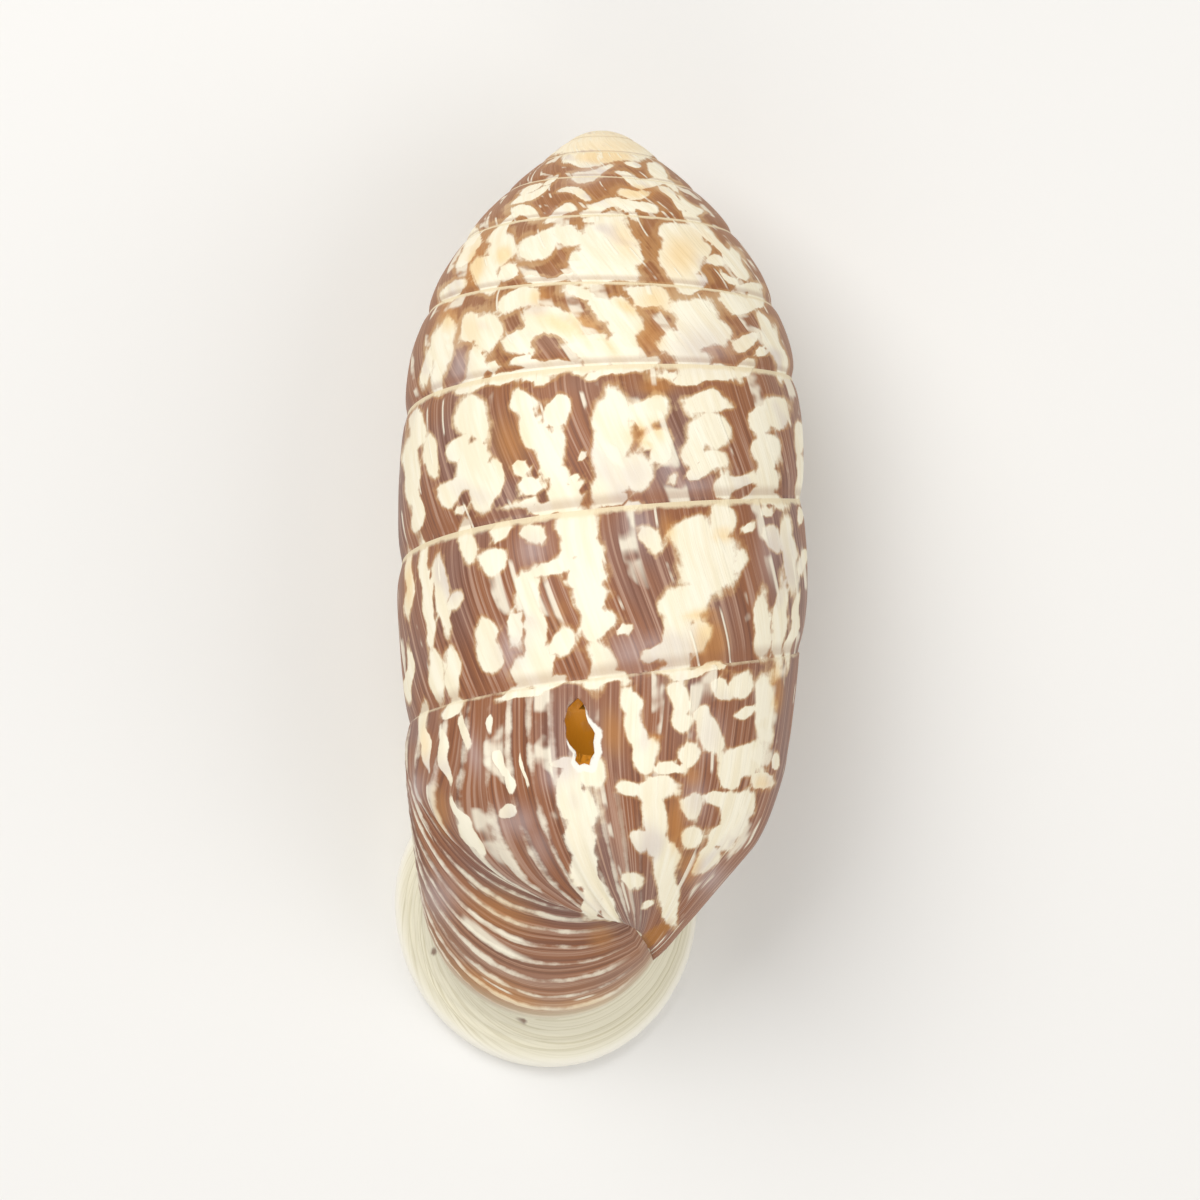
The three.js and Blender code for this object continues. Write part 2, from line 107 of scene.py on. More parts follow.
# How far down its height that last outline has come: it swells past the umbilicus.
LATE_DESCENT = [
    (0, 0), (0.2, 0.2), (0.38, 0.38), (0.52, 0.54), (0.64, 0.7), (0.74, 0.83), (0.83, 0.93),
    (0.9, 1.0), (0.96, 1.03), (1, 1.02),
]
WHORL_OVERLAP = 1.85
UMBILICUS_DEPTH = 25.2
FOOT_SHARPNESS = 3
WHORL_BULGE = 0.1
SUTURE_NOTCH = 0.07
NOTCH_WIDTHS = (0.07, 0.1)
SUTURE_SET_IN = 0.02
UNDER_SWELL = 0.012
BASE_BURIED = 0.12
ROOT_IN = 0.25
ROOT_UP = 0.15
TUBE_PROUD = 0.03
CHAMBER_WALL = 1.15
# How far, in turns, a growth line lies ahead of the suture's place, at its top and its foot.
GROWTH_LEAN = (0.028, -0.02)
# Turns that growth counts on along the neck, and with each step of the lip.
NECK_GROWTH = 0.2
LIP_GROWTH = 0.004

# The mouth, seen along Z, and the neck that leads to it.
MOUTH_X = -1.66
MOUTH_DEPTH = 23.3
NECK_HALF_WIDTH = 3.8
NECK_HALF_HEIGHT = 3.64
NECK_REACH = 10
NECK_STRAIGHTENING = 4.2
NECK_THINNING = 0.82
NECK_HEIGHT = 2.9
NECK_STEPS = 44
CORNER_ANGLE = 135
CHINK_ANGLE = 324
FLARE_LEFT = 1.1
FLARE_RIGHT = 0.9
FLARE_FOOT = 1.6
FLARE_TOP = 0.95
# The lip from the neck over its back, round the rim and over the front into the mouth:
# share of the flare, height above the table. The small steps are raised growth lines.
LIP_PROFILE = [
    (0.04, 2.3), (0.09, 2.05), (0.15, 1.8), (0.24, 1.62), (0.27, 1.5), (0.36, 1.38),
    (0.44, 1.32), (0.47, 1.24), (0.58, 1.17), (0.64, 1.15), (0.68, 1.08), (0.8, 1.02),
    (0.9, 0.93), (0.97, 0.78), (1.0, 0.6), (1.0, 0.42), (0.97, 0.24), (0.9, 0.1), (0.8, 0.02),
    (0.7, 0), (0.5, 0), (0.34, 0), (0.2, 0.08), (0.08, 0.22), (-0.06, 0.45), (-0.18, 0.7),
    (-0.26, 1.05), (-0.3, 1.4),
]

# The ribs of the last half whorl, in turns, and where they and the lip set in and end.
RIB_START = 0.24
RIB_PITCH = 6.6 / 360
RIBS_BEGIN = (0.22, 0.31)
RIBS_END = (0.62, 0.655)
LIP_BEGINS = (0.61, 0.66)
RIM_BEGINS = (0.7, 0.712)

# The chipped hole's outline about its own centre, seen along Z, and how high the cut goes.
HOLE_X = -0.66
HOLE_DEPTH = 18.55
HOLE_FLOOR = 5.3
HOLE_TOP = 7.5
HOLE_MARGIN = 0.06
HOLE_OUTLINE = [
    (-0.3, -0.75), (-0.18, -0.86), (-0.02, -1.0), (0.1, -0.9), (0.2, -0.7), (0.22, -0.5),
    (0.28, -0.3), (0.4, -0.12), (0.46, 0.0), (0.42, 0.25), (0.45, 0.55), (0.36, 0.72),
    (0.32, 0.92), (0.16, 0.86), (0.02, 0.9), (-0.1, 0.75), (-0.06, 0.62), (-0.08, 0.5),
    (-0.26, 0.32), (-0.38, 0.1), (-0.36, -0.15), (-0.42, -0.35),
]

# The camera, and the level on which the blotches are laid out, in millimetres.
LENS = 100
SENSOR = 36
CAMERA_X = 0.15
CAMERA_Y = 0.3
CAMERA_HEIGHT = 106.34
LAYOUT_LEVEL = 10

# The table top's width, and the soft lamps' places and sizes, in metres, with each one's
# share of the main lamp's power.
TABLE_WIDTH = 0.6
LAMPS = [
    ("key", (-0.07, 0.08, 0.16), 0.12, 1.0),
    ("fill", (0.13, -0.03, 0.14), 0.14, 0.45),
    ("foot", (-0.02, -0.15, 0.1), 0.12, 0.3),
]
LAMPS_AIM = (0, 0, 0.006)


def colour(text):
    """An sRGB hex value as linear RGBA."""
    values = [int(text[i:i + 2], 16) / 255 for i in (0, 2, 4)]
    linear = [v / 12.92 if v <= 0.04045 else ((v + 0.055) / 1.055) ** 2.4 for v in values]
    return (*linear, 1.0)


def smooth(x, low, high):
    """0 below low, 1 above high and an even S between them."""
    s = np.clip((np.asarray(x, float) - low) / (high - low), 0, 1)
    return s * s * (3 - 2 * s)


def mix(a, b, share):
    return a + (b - a) * share


def curve_through(points):
    """A smooth curve through points whose slopes never make it swing past them."""
    x = np.array([p[0] for p in points], float)
    y = np.array([p[1] for p in points], float)
    slope = np.diff(y) / np.diff(x)
    tangent = np.zeros(len(x))
    tangent[0], tangent[-1] = slope[0], slope[-1]
    for i in range(1, len(x) - 1):
        a, b = slope[i - 1], slope[i]
        tangent[i] = 0 if a * b <= 0 else 2 * a * b / (a + b)

    def value(at):
        at = np.asarray(at, float)
        i = np.clip(np.searchsorted(x, at, side="left") - 1, 0, len(x) - 2)
        h = x[i + 1] - x[i]
        s = np.clip((at - x[i]) / h, 0, 1)
        s2, s3 = s * s, s * s * s
        return ((2 * s3 - 3 * s2 + 1) * y[i] + (s3 - 2 * s2 + s) * h * tangent[i]
                + (3 * s2 - 2 * s3) * y[i + 1] + (s3 - s2) * h * tangent[i + 1])
    return value


side_radius = curve_through(SIDE_OUTLINE)
level_suture = curve_through(SUTURE_DEPTHS)
full_whorl = curve_through(FULL_WHORL)
early_whorl = curve_through(EARLY_WHORL)
late_whorl = curve_through(LATE_WHORL)
late_descent = curve_through(LATE_DESCENT)


def suture_depth(turn):
    """Depth of the suture, whose coil leans a little against the outline's axis."""
    level = level_suture(turn)
    lean = mix(*COIL_LEAN, smooth(turn, *LEAN_TURNS))
    return level + lean * side_radius(level) * np.cos(np.asarray(turn) * TAU)


def place(radius, depth, turn, shift):
    """Points of the shell from radius and depth at a turn."""
    centre = shift * smooth(depth, *SHIFT_DEPTHS)
    angle = np.asarray(turn) * TAU
    return np.stack(np.broadcast_arrays(
        centre + radius * np.cos(angle), -np.asarray(depth), radius * np.sin(angle)), -1)


def whorl_side(turn, share, bulge):
    """Radius and depth of the open side of a spire whorl, between its sutures."""
    depth = mix(suture_depth(turn), suture_depth(turn + 1), share)
    size = side_radius(depth) / FULL_RADIUS
    above, below = NOTCH_WIDTHS
    edge = np.exp(-((share / above) ** 2)) + np.exp(-(((1 - share) / below) ** 2))
    swell = bulge * 4 * share * (1 - share) - SUTURE_NOTCH * edge
    return np.maximum(0, side_radius(depth) + swell * size), depth


def whorl_height(turn):
    """Height of a whole whorl, whose foot never comes lower than the umbilicus."""
    pitch = suture_depth(turn + 1) - suture_depth(turn)
    free = suture_depth(turn) + pitch * WHORL_OVERLAP
    above = FOOT_SHARPNESS * (UMBILICUS_DEPTH - free)
    foot = UMBILICUS_DEPTH - np.log(1 + np.exp(above)) / FOOT_SHARPNESS
    return foot - suture_depth(turn)


def whorl_outline(turn, share):
    """Radius and depth of a whole whorl's outer wall, from its suture to its foot."""
    closing = smooth(turn, CLOSING_TURN, NECK_TURN)
    depth = suture_depth(turn) + mix(share, late_descent(share), closing) * whorl_height(turn)
    top = side_radius(suture_depth(turn)) - SUTURE_SET_IN
    last = mix(early_whorl(share), late_whorl(share), closing)
    whole = full_whorl(share) * (side_radius(depth) / top) + UNDER_SWELL * np.sin(np.pi * share)
    return top * mix(whole, last, smooth(turn, *LAST_OUTLINE_TURNS)), depth


def growth_lean(share):
    return mix(*GROWTH_LEAN, smooth(share, 0, 0.75))


class Loop:
    """A closed growth line, with so many points on its outer wall, columella and parietal
    wall, where it lies on the whorl before."""

    def __init__(self, outer, columella, parietal):
        self.outer, self.columella, self.parietal = outer, columella, parietal
        self.count = outer + columella + parietal
        index = np.arange(self.count)
        rest = columella + parietal
        turned = np.where(
            index <= outer,
            mix(CORNER_ANGLE, CHINK_ANGLE, index / outer),
            mix(CHINK_ANGLE, CORNER_ANGLE + 360, (index - outer) / rest))
        self.angle = np.radians(turned)
        self.share = np.where(index <= outer, index / outer, 1 - (index - outer) / rest)

    def growth_line(self, turn):
        """Radius, depth and lean of each point of the closed growth line at a turn."""
        out = np.arange(self.outer) / self.outer
        radius, depth = whorl_outline(turn, out)
        rooted = (out == 0) * 1.0
        parts = [np.stack([radius - rooted * ROOT_IN, depth - rooted * ROOT_UP, growth_lean(out)], 1)]
        foot = suture_depth(turn) + whorl_height(turn)
        head = suture_depth(turn - 1) + whorl_height(turn - 1)
        up = np.arange(self.columella) / self.columella
        parts.append(np.stack([
            np.full(len(up), UMBILICUS_RADIUS), mix(foot, head, up),
            np.full(len(up), float(growth_lean(1)))], 1))
        met = (suture_depth(turn) - suture_depth(turn - 1)) / whorl_height(turn - 1)
        back = np.arange(self.parietal) / self.parietal
        radius, depth = whorl_outline(turn - 1, mix(1, met, back))
        parts.append(np.stack([radius, depth, mix(growth_lean(1), growth_lean(0), back)], 1))
        return np.concatenate(parts)

    def ring(self, turn, inset, shift):
        """The growth line at a turn, drawn in from the wall by the inset."""
        line = self.growth_line(turn)
        middle = line[:, :2].mean(0)
        away = np.hypot(*(line[:, :2] - middle).T)
        keep = np.maximum(0.2, 1 - inset / away)[:, None]
        drawn = mix(middle, line[:, :2], keep)
        return place(drawn[:, 0], drawn[:, 1], turn + line[:, 2], shift)

    def mouth_ring(self, share, height, inset=0.0):
        """A level ring round the mouth, at a share of the flare."""
        across, up = np.cos(self.angle), np.sin(self.angle)
        side = np.where(across < 0, FLARE_LEFT, FLARE_RIGHT)
        end = np.where(up < 0, FLARE_FOOT, FLARE_TOP)
        x = MOUTH_X + across * (NECK_HALF_WIDTH + share * side - inset)
        depth = MOUTH_DEPTH - up * (NECK_HALF_HEIGHT + share * end - inset)
        return np.stack([x, -depth, height - table_distance(depth)], 1)

    def neck(self, steps, inset, shift):
        """Rings from the last growth line of the body down to the mouth."""
        start = self.ring(NECK_TURN, inset, shift)
        leave = (start - self.ring(NECK_TURN - 0.01, inset, shift)) * NECK_REACH
        end = self.mouth_ring(0, NECK_HEIGHT, inset * NECK_THINNING)
        arrive = np.array([0, 0, -NECK_STRAIGHTENING])
        rings = []
        for k in range(1, steps + 1):
            s = k / steps
            s2, s3 = s * s, s * s * s
            rings.append(start * (2 * s3 - 3 * s2 + 1) + leave * (s3 - 2 * s2 + s)
                         + end * (3 * s2 - 2 * s3) + arrive * (s3 - s2))
        return rings


def table_distance(depth):
    """Height of the coil's axis over the table, which wears the belly a little flat."""
    return (side_radius(BELLY_DEPTH) + WHORL_BULGE - BELLY_FLAT
            + math.tan(REST_TILT) * (np.asarray(depth) - BELLY_DEPTH))


def laid_down(points):
    """Shell points in millimetres, laid on the table, in the frame's metres."""
    p = np.asarray(points, float) + [0, BELLY_DEPTH, float(table_distance(BELLY_DEPTH))]
    c, s = math.cos(-REST_TILT), math.sin(-REST_TILT)
    y, z = p[:, 1] * c - p[:, 2] * s, p[:, 1] * s + p[:, 2] * c
    return np.stack([p[:, 0] + AXIS_X, y + APEX_Y, z], 1) * MM


def new_object(name, points, faces):
    """An object in the scene from points in millimetres or metres and their faces."""
    mesh = bpy.data.meshes.new(name)
    mesh.from_pydata([tuple(p) for p in points], [], faces)
    mesh.update()
    made = bpy.data.objects.new(name, mesh)
    bpy.context.scene.collection.objects.link(made)
    return made


def numbers(items, field, width=1, kind=float):
    """One field of a mesh's points, corners or faces, as an array."""
    values = np.zeros(len(items) * width, kind)
    items.foreach_get(field, values)
    return values.reshape(-1, width) if width > 1 else values


def turned_out(made):
    """Turns a closed mesh outside out where its volume comes out negative."""
    mesh = made.data
    mesh.calc_loop_triangles()
    corners_of = numbers(mesh.loop_triangles, "vertices", 3, int)
    a, b, c = (numbers(mesh.vertices, "co", 3)[corners_of[:, k]] for k in range(3))
    if np.einsum("ij,ij->i", a, np.cross(b, c)).sum() < 0:
        mesh.flip_normals()
    return made


def skin(name, rings):
    """A closed surface through rings of points, with a fan over each end."""
    count = len(rings[0])
    points = list(np.concatenate(rings))
    faces = []
    for k in range(len(rings) - 1):
        for i in range(count):
            j = (i + 1) % count
            faces.append((k * count + i, k * count + j, (k + 1) * count + j, (k + 1) * count + i))
    for k, flip in ((0, True), (len(rings) - 1, False)):
        hub = len(points)
        points.append(rings[k].mean(0))
        for i in range(count):
            a, b = k * count + i, k * count + (i + 1) % count
            faces.append((b, a, hub) if flip else (a, b, hub))
    return turned_out(new_object(name, laid_down(points), faces))


def plain_mesh(made):
    """Applies an object's modifiers to its mesh."""
    graph = bpy.context.evaluated_depsgraph_get()
    made_mesh = bpy.data.meshes.new_from_object(made.evaluated_get(graph))
    made.modifiers.clear()
    old = made.data
    made.data = made_mesh
    bpy.data.meshes.remove(old)
    return made


def join_or_cut(target, tool, operation):
    """Adds or subtracts a closed mesh, which is used up."""
    step = target.modifiers.new(operation, "BOOLEAN")
    step.operation = operation
    step.solver = "MANIFOLD"
    step.material_mode = "TRANSFER"
    step.object = tool
    plain_mesh(target)
    bpy.data.objects.remove(tool)
    if not target.data.vertices:
        raise RuntimeError("the shell came out empty after " + operation)
    return target


# Short names for the kinds of node that are used again and again.
MATH = "ShaderNodeMath"
VECTOR = "ShaderNodeVectorMath"
RANGE = "ShaderNodeMapRange"
NOISE = "ShaderNodeTexNoise"
MIX = "ShaderNodeMix"
STEP = "SMOOTHSTEP"


def node(tree, kind, *values, **settings):
    """Adds a node: settings by keyword, inputs in order or in a dictionary by name or number."""
    made = tree.nodes.new(kind)
    for key, value in settings.items():
        setattr(made, key, value)
    given = values[0] if values and isinstance(values[0], dict) else dict(enumerate(values))
    for key, value in given.items():
        if isinstance(value, bpy.types.Node):
            value = next(out for out in value.outputs if out.enabled)
        if isinstance(value, bpy.types.NodeSocket):
            tree.links.new(value, made.inputs[key])
        else:
            made.inputs[key].default_value = value
    return made


def winding_tree():
    """Winds an unrolled whorl sheet, whose points are (turn, radius, depth), round the axis."""
    tree = bpy.data.node_groups.new("Wind whorls", "GeometryNodeTree")
    face = tree.interface
    face.new_socket("Sheet", in_out="INPUT", socket_type="NodeSocketGeometry")
    shift = face.new_socket("Umbilicus Shift", in_out="INPUT", socket_type="NodeSocketFloat")
    shift.description = "How far beside the axis the growth lines meet, in millimetres"
    handed = face.new_socket("Right Handed", in_out="INPUT", socket_type="NodeSocketFloat")
    handed.description = "1 coils the shell to the right, -1 to the left"
    face.new_socket("Wear", in_out="INPUT", socket_type="NodeSocketMaterial")
    face.new_socket("Shell", in_out="OUTPUT", socket_type="NodeSocketGeometry")
    given = node(tree, "NodeGroupInput").outputs
    apart = node(tree, "ShaderNodeSeparateXYZ", node(tree, "GeometryNodeInputPosition"))
    turn, radius, depth = apart.outputs
    angle = node(tree, MATH, turn, TAU, operation="MULTIPLY")
    beside = given["Umbilicus Shift"]
    centre = node(tree, RANGE, depth, *SHIFT_DEPTHS, 0.0, beside, interpolation_type=STEP)
    cosine = node(tree, MATH, angle, operation="COSINE")
    sine = node(tree, MATH, angle, operation="SINE")
    x = node(tree, MATH, radius, cosine, centre, operation="MULTIPLY_ADD")
    y = node(tree, MATH, depth, -1.0, operation="MULTIPLY")
    out = node(tree, MATH, radius, sine, operation="MULTIPLY")
    z = node(tree, MATH, out, given["Right Handed"], operation="MULTIPLY")
    wound = node(tree, "ShaderNodeCombineXYZ", x, y, z)
    placed = node(tree, "GeometryNodeSetPosition", {"Geometry": given["Sheet"], "Position": wound})
    real = node(tree, "GeometryNodeRealizeInstances", placed)
    worn = node(tree, "GeometryNodeSetMaterial", {"Geometry": real, "Material": given["Wear"]})
    node(tree, "NodeGroupOutput", worn)
    return tree


def set_inputs(modifier, values):
    """Sets a geometry modifier's inputs by their names' identifiers."""
    for item in modifier.node_group.interface.items_tree:
        if item.in_out == "INPUT" and item.name in values:
            modifier[item.identifier] = values[item.name]


def spire(props, finish):
    """The whorls of the spire as one closed solid, wound by the tree."""
    steps, rows_side, rows_base = props.steps_to_a_turn, props.rows_to_a_whorl, 14
    row_count = round((SPIRE_END - FIRST_TURN) * steps)
    points, rows, faces = [], [], []

    def add(turn, radius, depth):
        points.append((turn, radius, depth))
        return len(points) - 1

    apex = add(0, 0, 0)
    foot = add(0, 0, COLUMELLA_FOOT)
    side = np.arange(1, rows_side + 1) / rows_side
    base = np.arange(1, rows_base + 1) / rows_base
    for k in range(row_count + 1):
        turn = SPIRE_END - (row_count - k) / steps
        if k == 0:
            row = [apex] * (rows_side + 1)
        else:
            row = [apex if k < steps else rows[k - steps][rows_side]]
            radius, depth = whorl_side(turn, side, props.whorl_bulge / MM)
            last, _ = whorl_outline(turn, (depth - suture_depth(turn)) / whorl_height(turn))
            radius = mix(radius, last, smooth(turn, *SIDE_BLEND_TURNS))
            row += [add(turn, r, d) for r, d in zip(radius, depth)]
        if k >= row_count - steps:
            met = (suture_depth(turn + 1) - suture_depth(turn)) / whorl_height(turn)
            buried = BASE_BURIED * (1 - smooth(turn, *BURYING_TURNS))
            radius, depth = whorl_outline(turn, mix(met, 1, base))
            out = buried * smooth(base, 0, 0.35)
            row += [add(turn, r, d) for r, d in zip(radius + out, depth + out)]
            row.append(foot)
        rows.append(row)
    for here, after in zip(rows, rows[1:]):
        for i in range(min(len(here), len(after)) - 1):
            quad = [here[i], here[i + 1], after[i + 1], after[i]]
            kept = [v for n, v in enumerate(quad) if v not in quad[:n]]
            if len(kept) > 2:
                faces.append(kept)
    outer = rows[-1]
    inner = rows[row_count - steps][rows_side:]
    faces.append(outer + inner[1:-1][::-1])
    made = new_object("spire", points, faces)
    wind = made.modifiers.new("Wind whorls", "NODES")
    wind.node_group = winding_tree()
    set_inputs(wind, {"Umbilicus Shift": props.umbilicus_shift / MM, "Right Handed": 1.0, "Wear": finish})
    plain_mesh(made)
    wound = numbers(made.data.vertices, "co", 3)
    made.data.vertices.foreach_set("co", laid_down(wound).ravel())
    made.data.update()
    return turned_out(made)


def body_turns():
    """Turns at which the last whorl is drawn, closer together under the ribs."""
    close_from = RIB_START - 0.04
    plain = np.arange(TUBE_START, close_from, 1.5 / 360)
    close = np.arange(close_from, NECK_TURN, RIB_PITCH / 8)
    return np.concatenate([plain, close, [NECK_TURN]])


def last_whorl(shift):
    """The last whorl with its neck, lip and lumen, and where each outer point grew."""
    loop = Loop(52, 6, 16)
    rings, grown = [], []

    def keep(ring, turn, lip=0.0):
        rings.append(ring)
        grown.append(np.stack([np.full(loop.count, turn), loop.share, np.full(loop.count, lip)], 1))

    for turn in body_turns():
        inset = WALL / 3 if turn < SPIRE_END else -TUBE_PROUD
        keep(loop.ring(turn, inset, shift), turn)
    for k, ring in enumerate(loop.neck(NECK_STEPS, 0, shift), 1):
        keep(ring, NECK_TURN + NECK_GROWTH * (k / NECK_STEPS))
    for k, (share, height) in enumerate(LIP_PROFILE):
        keep(loop.mouth_ring(share, height), NECK_TURN + NECK_GROWTH + LIP_GROWTH * k, 1.0)
    inside = loop.neck(20, WALL, shift)[::-1]
    turn = NECK_TURN
    while turn > LUMEN_START:
        inside.append(loop.ring(turn, WALL, shift))
        turn -= 5 / 360
    return skin("last whorl", rings + inside), np.concatenate(rings), np.concatenate(grown)


def clearance(shift):
    """The room that the last whorl's own solid takes, cut from the spire before it joins."""
    loop = Loop(40, 5, 12)
    turns = np.append(np.arange(LUMEN_START - 0.01, NECK_TURN, 5 / 360), NECK_TURN)
    rings = [loop.ring(t, WALL / 2, shift) for t in turns]
    rings += loop.neck(20, WALL / 2, shift)
    rings += [loop.mouth_ring(0, 0.5, WALL / 2), loop.mouth_ring(0, -1, WALL / 2)]
    return skin("clearance", rings)


def chamber(shift, turns=3, steps=40):
    """The hollow behind the lumen, which goes on up the spire with a thinner wall."""
    loop = Loop(24, 4, 10)
    full_pitch = 4.8
    rings = []
    for k in range(turns * steps + 1):
        turn = CHAMBER_START - k / steps
        size = float(suture_depth(turn + 1) - suture_depth(turn)) / full_pitch
        rings.append(loop.ring(turn, WALL * CHAMBER_WALL * min(1, 0.5 + 0.5 * size), shift))
    return skin("chamber", rings)


def prism(name, outline, low, high):
    """A closed upright prism over an outline in the shell's own frame."""
    outline = np.array(outline)
    rings = [np.column_stack([outline, np.full(len(outline), z)]) for z in (low, high)]
    return skin(name, rings)


def under_table():
    """Everything under the table, which wears the resting places flat."""
    wide, thick = 0.04, 0.02
    points = [(x, y, z) for x in (-wide, wide) for y in (-wide, wide) for z in (-thick, 0)]
    faces = [(0, 1, 3, 2), (4, 6, 7, 5), (0, 4, 5, 1), (2, 3, 7, 6), (0, 2, 6, 4), (1, 5, 7, 3)]
    return turned_out(new_object("table", points, faces))


def tooth(name, x, depth, height, size, turned):
    """A rounded solid with half sizes along x, y and z, turned about z: a tooth, fold or slit."""
    around, along = 24, 14
    rings = []
    for k in range(1, along):
        polar = math.pi * k / along
        a = np.arange(around) / around * TAU
        ring = np.stack([np.sin(polar) * np.cos(a), np.sin(polar) * np.sin(a),
                         np.full(around, math.cos(polar))], 1) * size
        c, s = math.cos(math.radians(turned)), math.sin(math.radians(turned))
        ring = np.stack([ring[:, 0] * c - ring[:, 1] * s, ring[:, 0] * s + ring[:, 1] * c, ring[:, 2]], 1)
        rings.append(ring + [x, -depth, height - float(table_distance(depth))])
    return skin(name, rings)


def rib_tree():
    """Raises the growth ribs along their normals, each a little different from the next."""
    tree = bpy.data.node_groups.new("Growth ribs", "GeometryNodeTree")
    face = tree.interface
    face.new_socket("Shell", in_out="INPUT", socket_type="NodeSocketGeometry")
    for name, about in (("First Rib", "Turn of growth at which the ribs begin"),
                        ("Rib Pitch", "Turns of growth from one rib to the next"),
                        ("Rib Height", "How far a rib stands up, in metres"),
                        ("Unevenness", "Height of the fine lumps between ribs, in metres")):
        face.new_socket(name, in_out="INPUT", socket_type="NodeSocketFloat").description = about
    face.new_socket("Seed", in_out="INPUT", socket_type="NodeSocketInt")
    face.new_socket("Finish", in_out="INPUT", socket_type="NodeSocketMaterial")
    face.new_socket("Shell", in_out="OUTPUT", socket_type="NodeSocketGeometry")
    given = node(tree, "NodeGroupInput").outputs

    turn, ribbed = (node(tree, "GeometryNodeInputNamedAttribute", name, data_type="FLOAT")
                    for name in ("turn", "ribbed"))
    since = node(tree, MATH, turn, given["First Rib"], operation="SUBTRACT")
    count = node(tree, MATH, since, given["Rib Pitch"], operation="DIVIDE")
    angle = node(tree, MATH, count, TAU, operation="MULTIPLY")
    cosine = node(tree, MATH, angle, operation="COSINE")
    wave = node(tree, MATH, cosine, -0.5, 0.5, operation="MULTIPLY_ADD")
    middle = node(tree, MATH, count, 0.5, operation="ADD")
    whole = node(tree, MATH, middle, operation="FLOOR")
    seeded = node(tree, MATH, whole, given["Seed"], operation="ADD")
    chance = node(tree, "ShaderNodeTexWhiteNoise", {"W": seeded}, noise_dimensions="1D")
    size = node(tree, MATH, chance, 0.5, 0.7, operation="MULTIPLY_ADD")
    scaled = node(tree, MATH, wave, size, operation="MULTIPLY")
    tall = node(tree, MATH, scaled, given["Rib Height"], operation="MULTIPLY")
    rib = node(tree, MATH, tall, ribbed, operation="MULTIPLY")
    lumps = node(tree, NOISE, {"Scale": 900.0, "Detail": 2.0})
    about = node(tree, MATH, lumps, 0.5, operation="SUBTRACT")
    height = node(tree, MATH, about, given["Unevenness"], rib, operation="MULTIPLY_ADD")
    outwards = node(tree, "GeometryNodeInputNormal")
    offset = node(tree, VECTOR, {0: outwards, "Scale": height}, operation="SCALE")
    raised = node(tree, "GeometryNodeSetPosition", {"Geometry": given["Shell"], "Offset": offset})
    real = node(tree, "GeometryNodeRealizeInstances", raised)
    worn = node(tree, "GeometryNodeSetMaterial", {"Geometry": real, "Material": given["Finish"]})
    node(tree, "NodeGroupOutput", worn)
    return tree


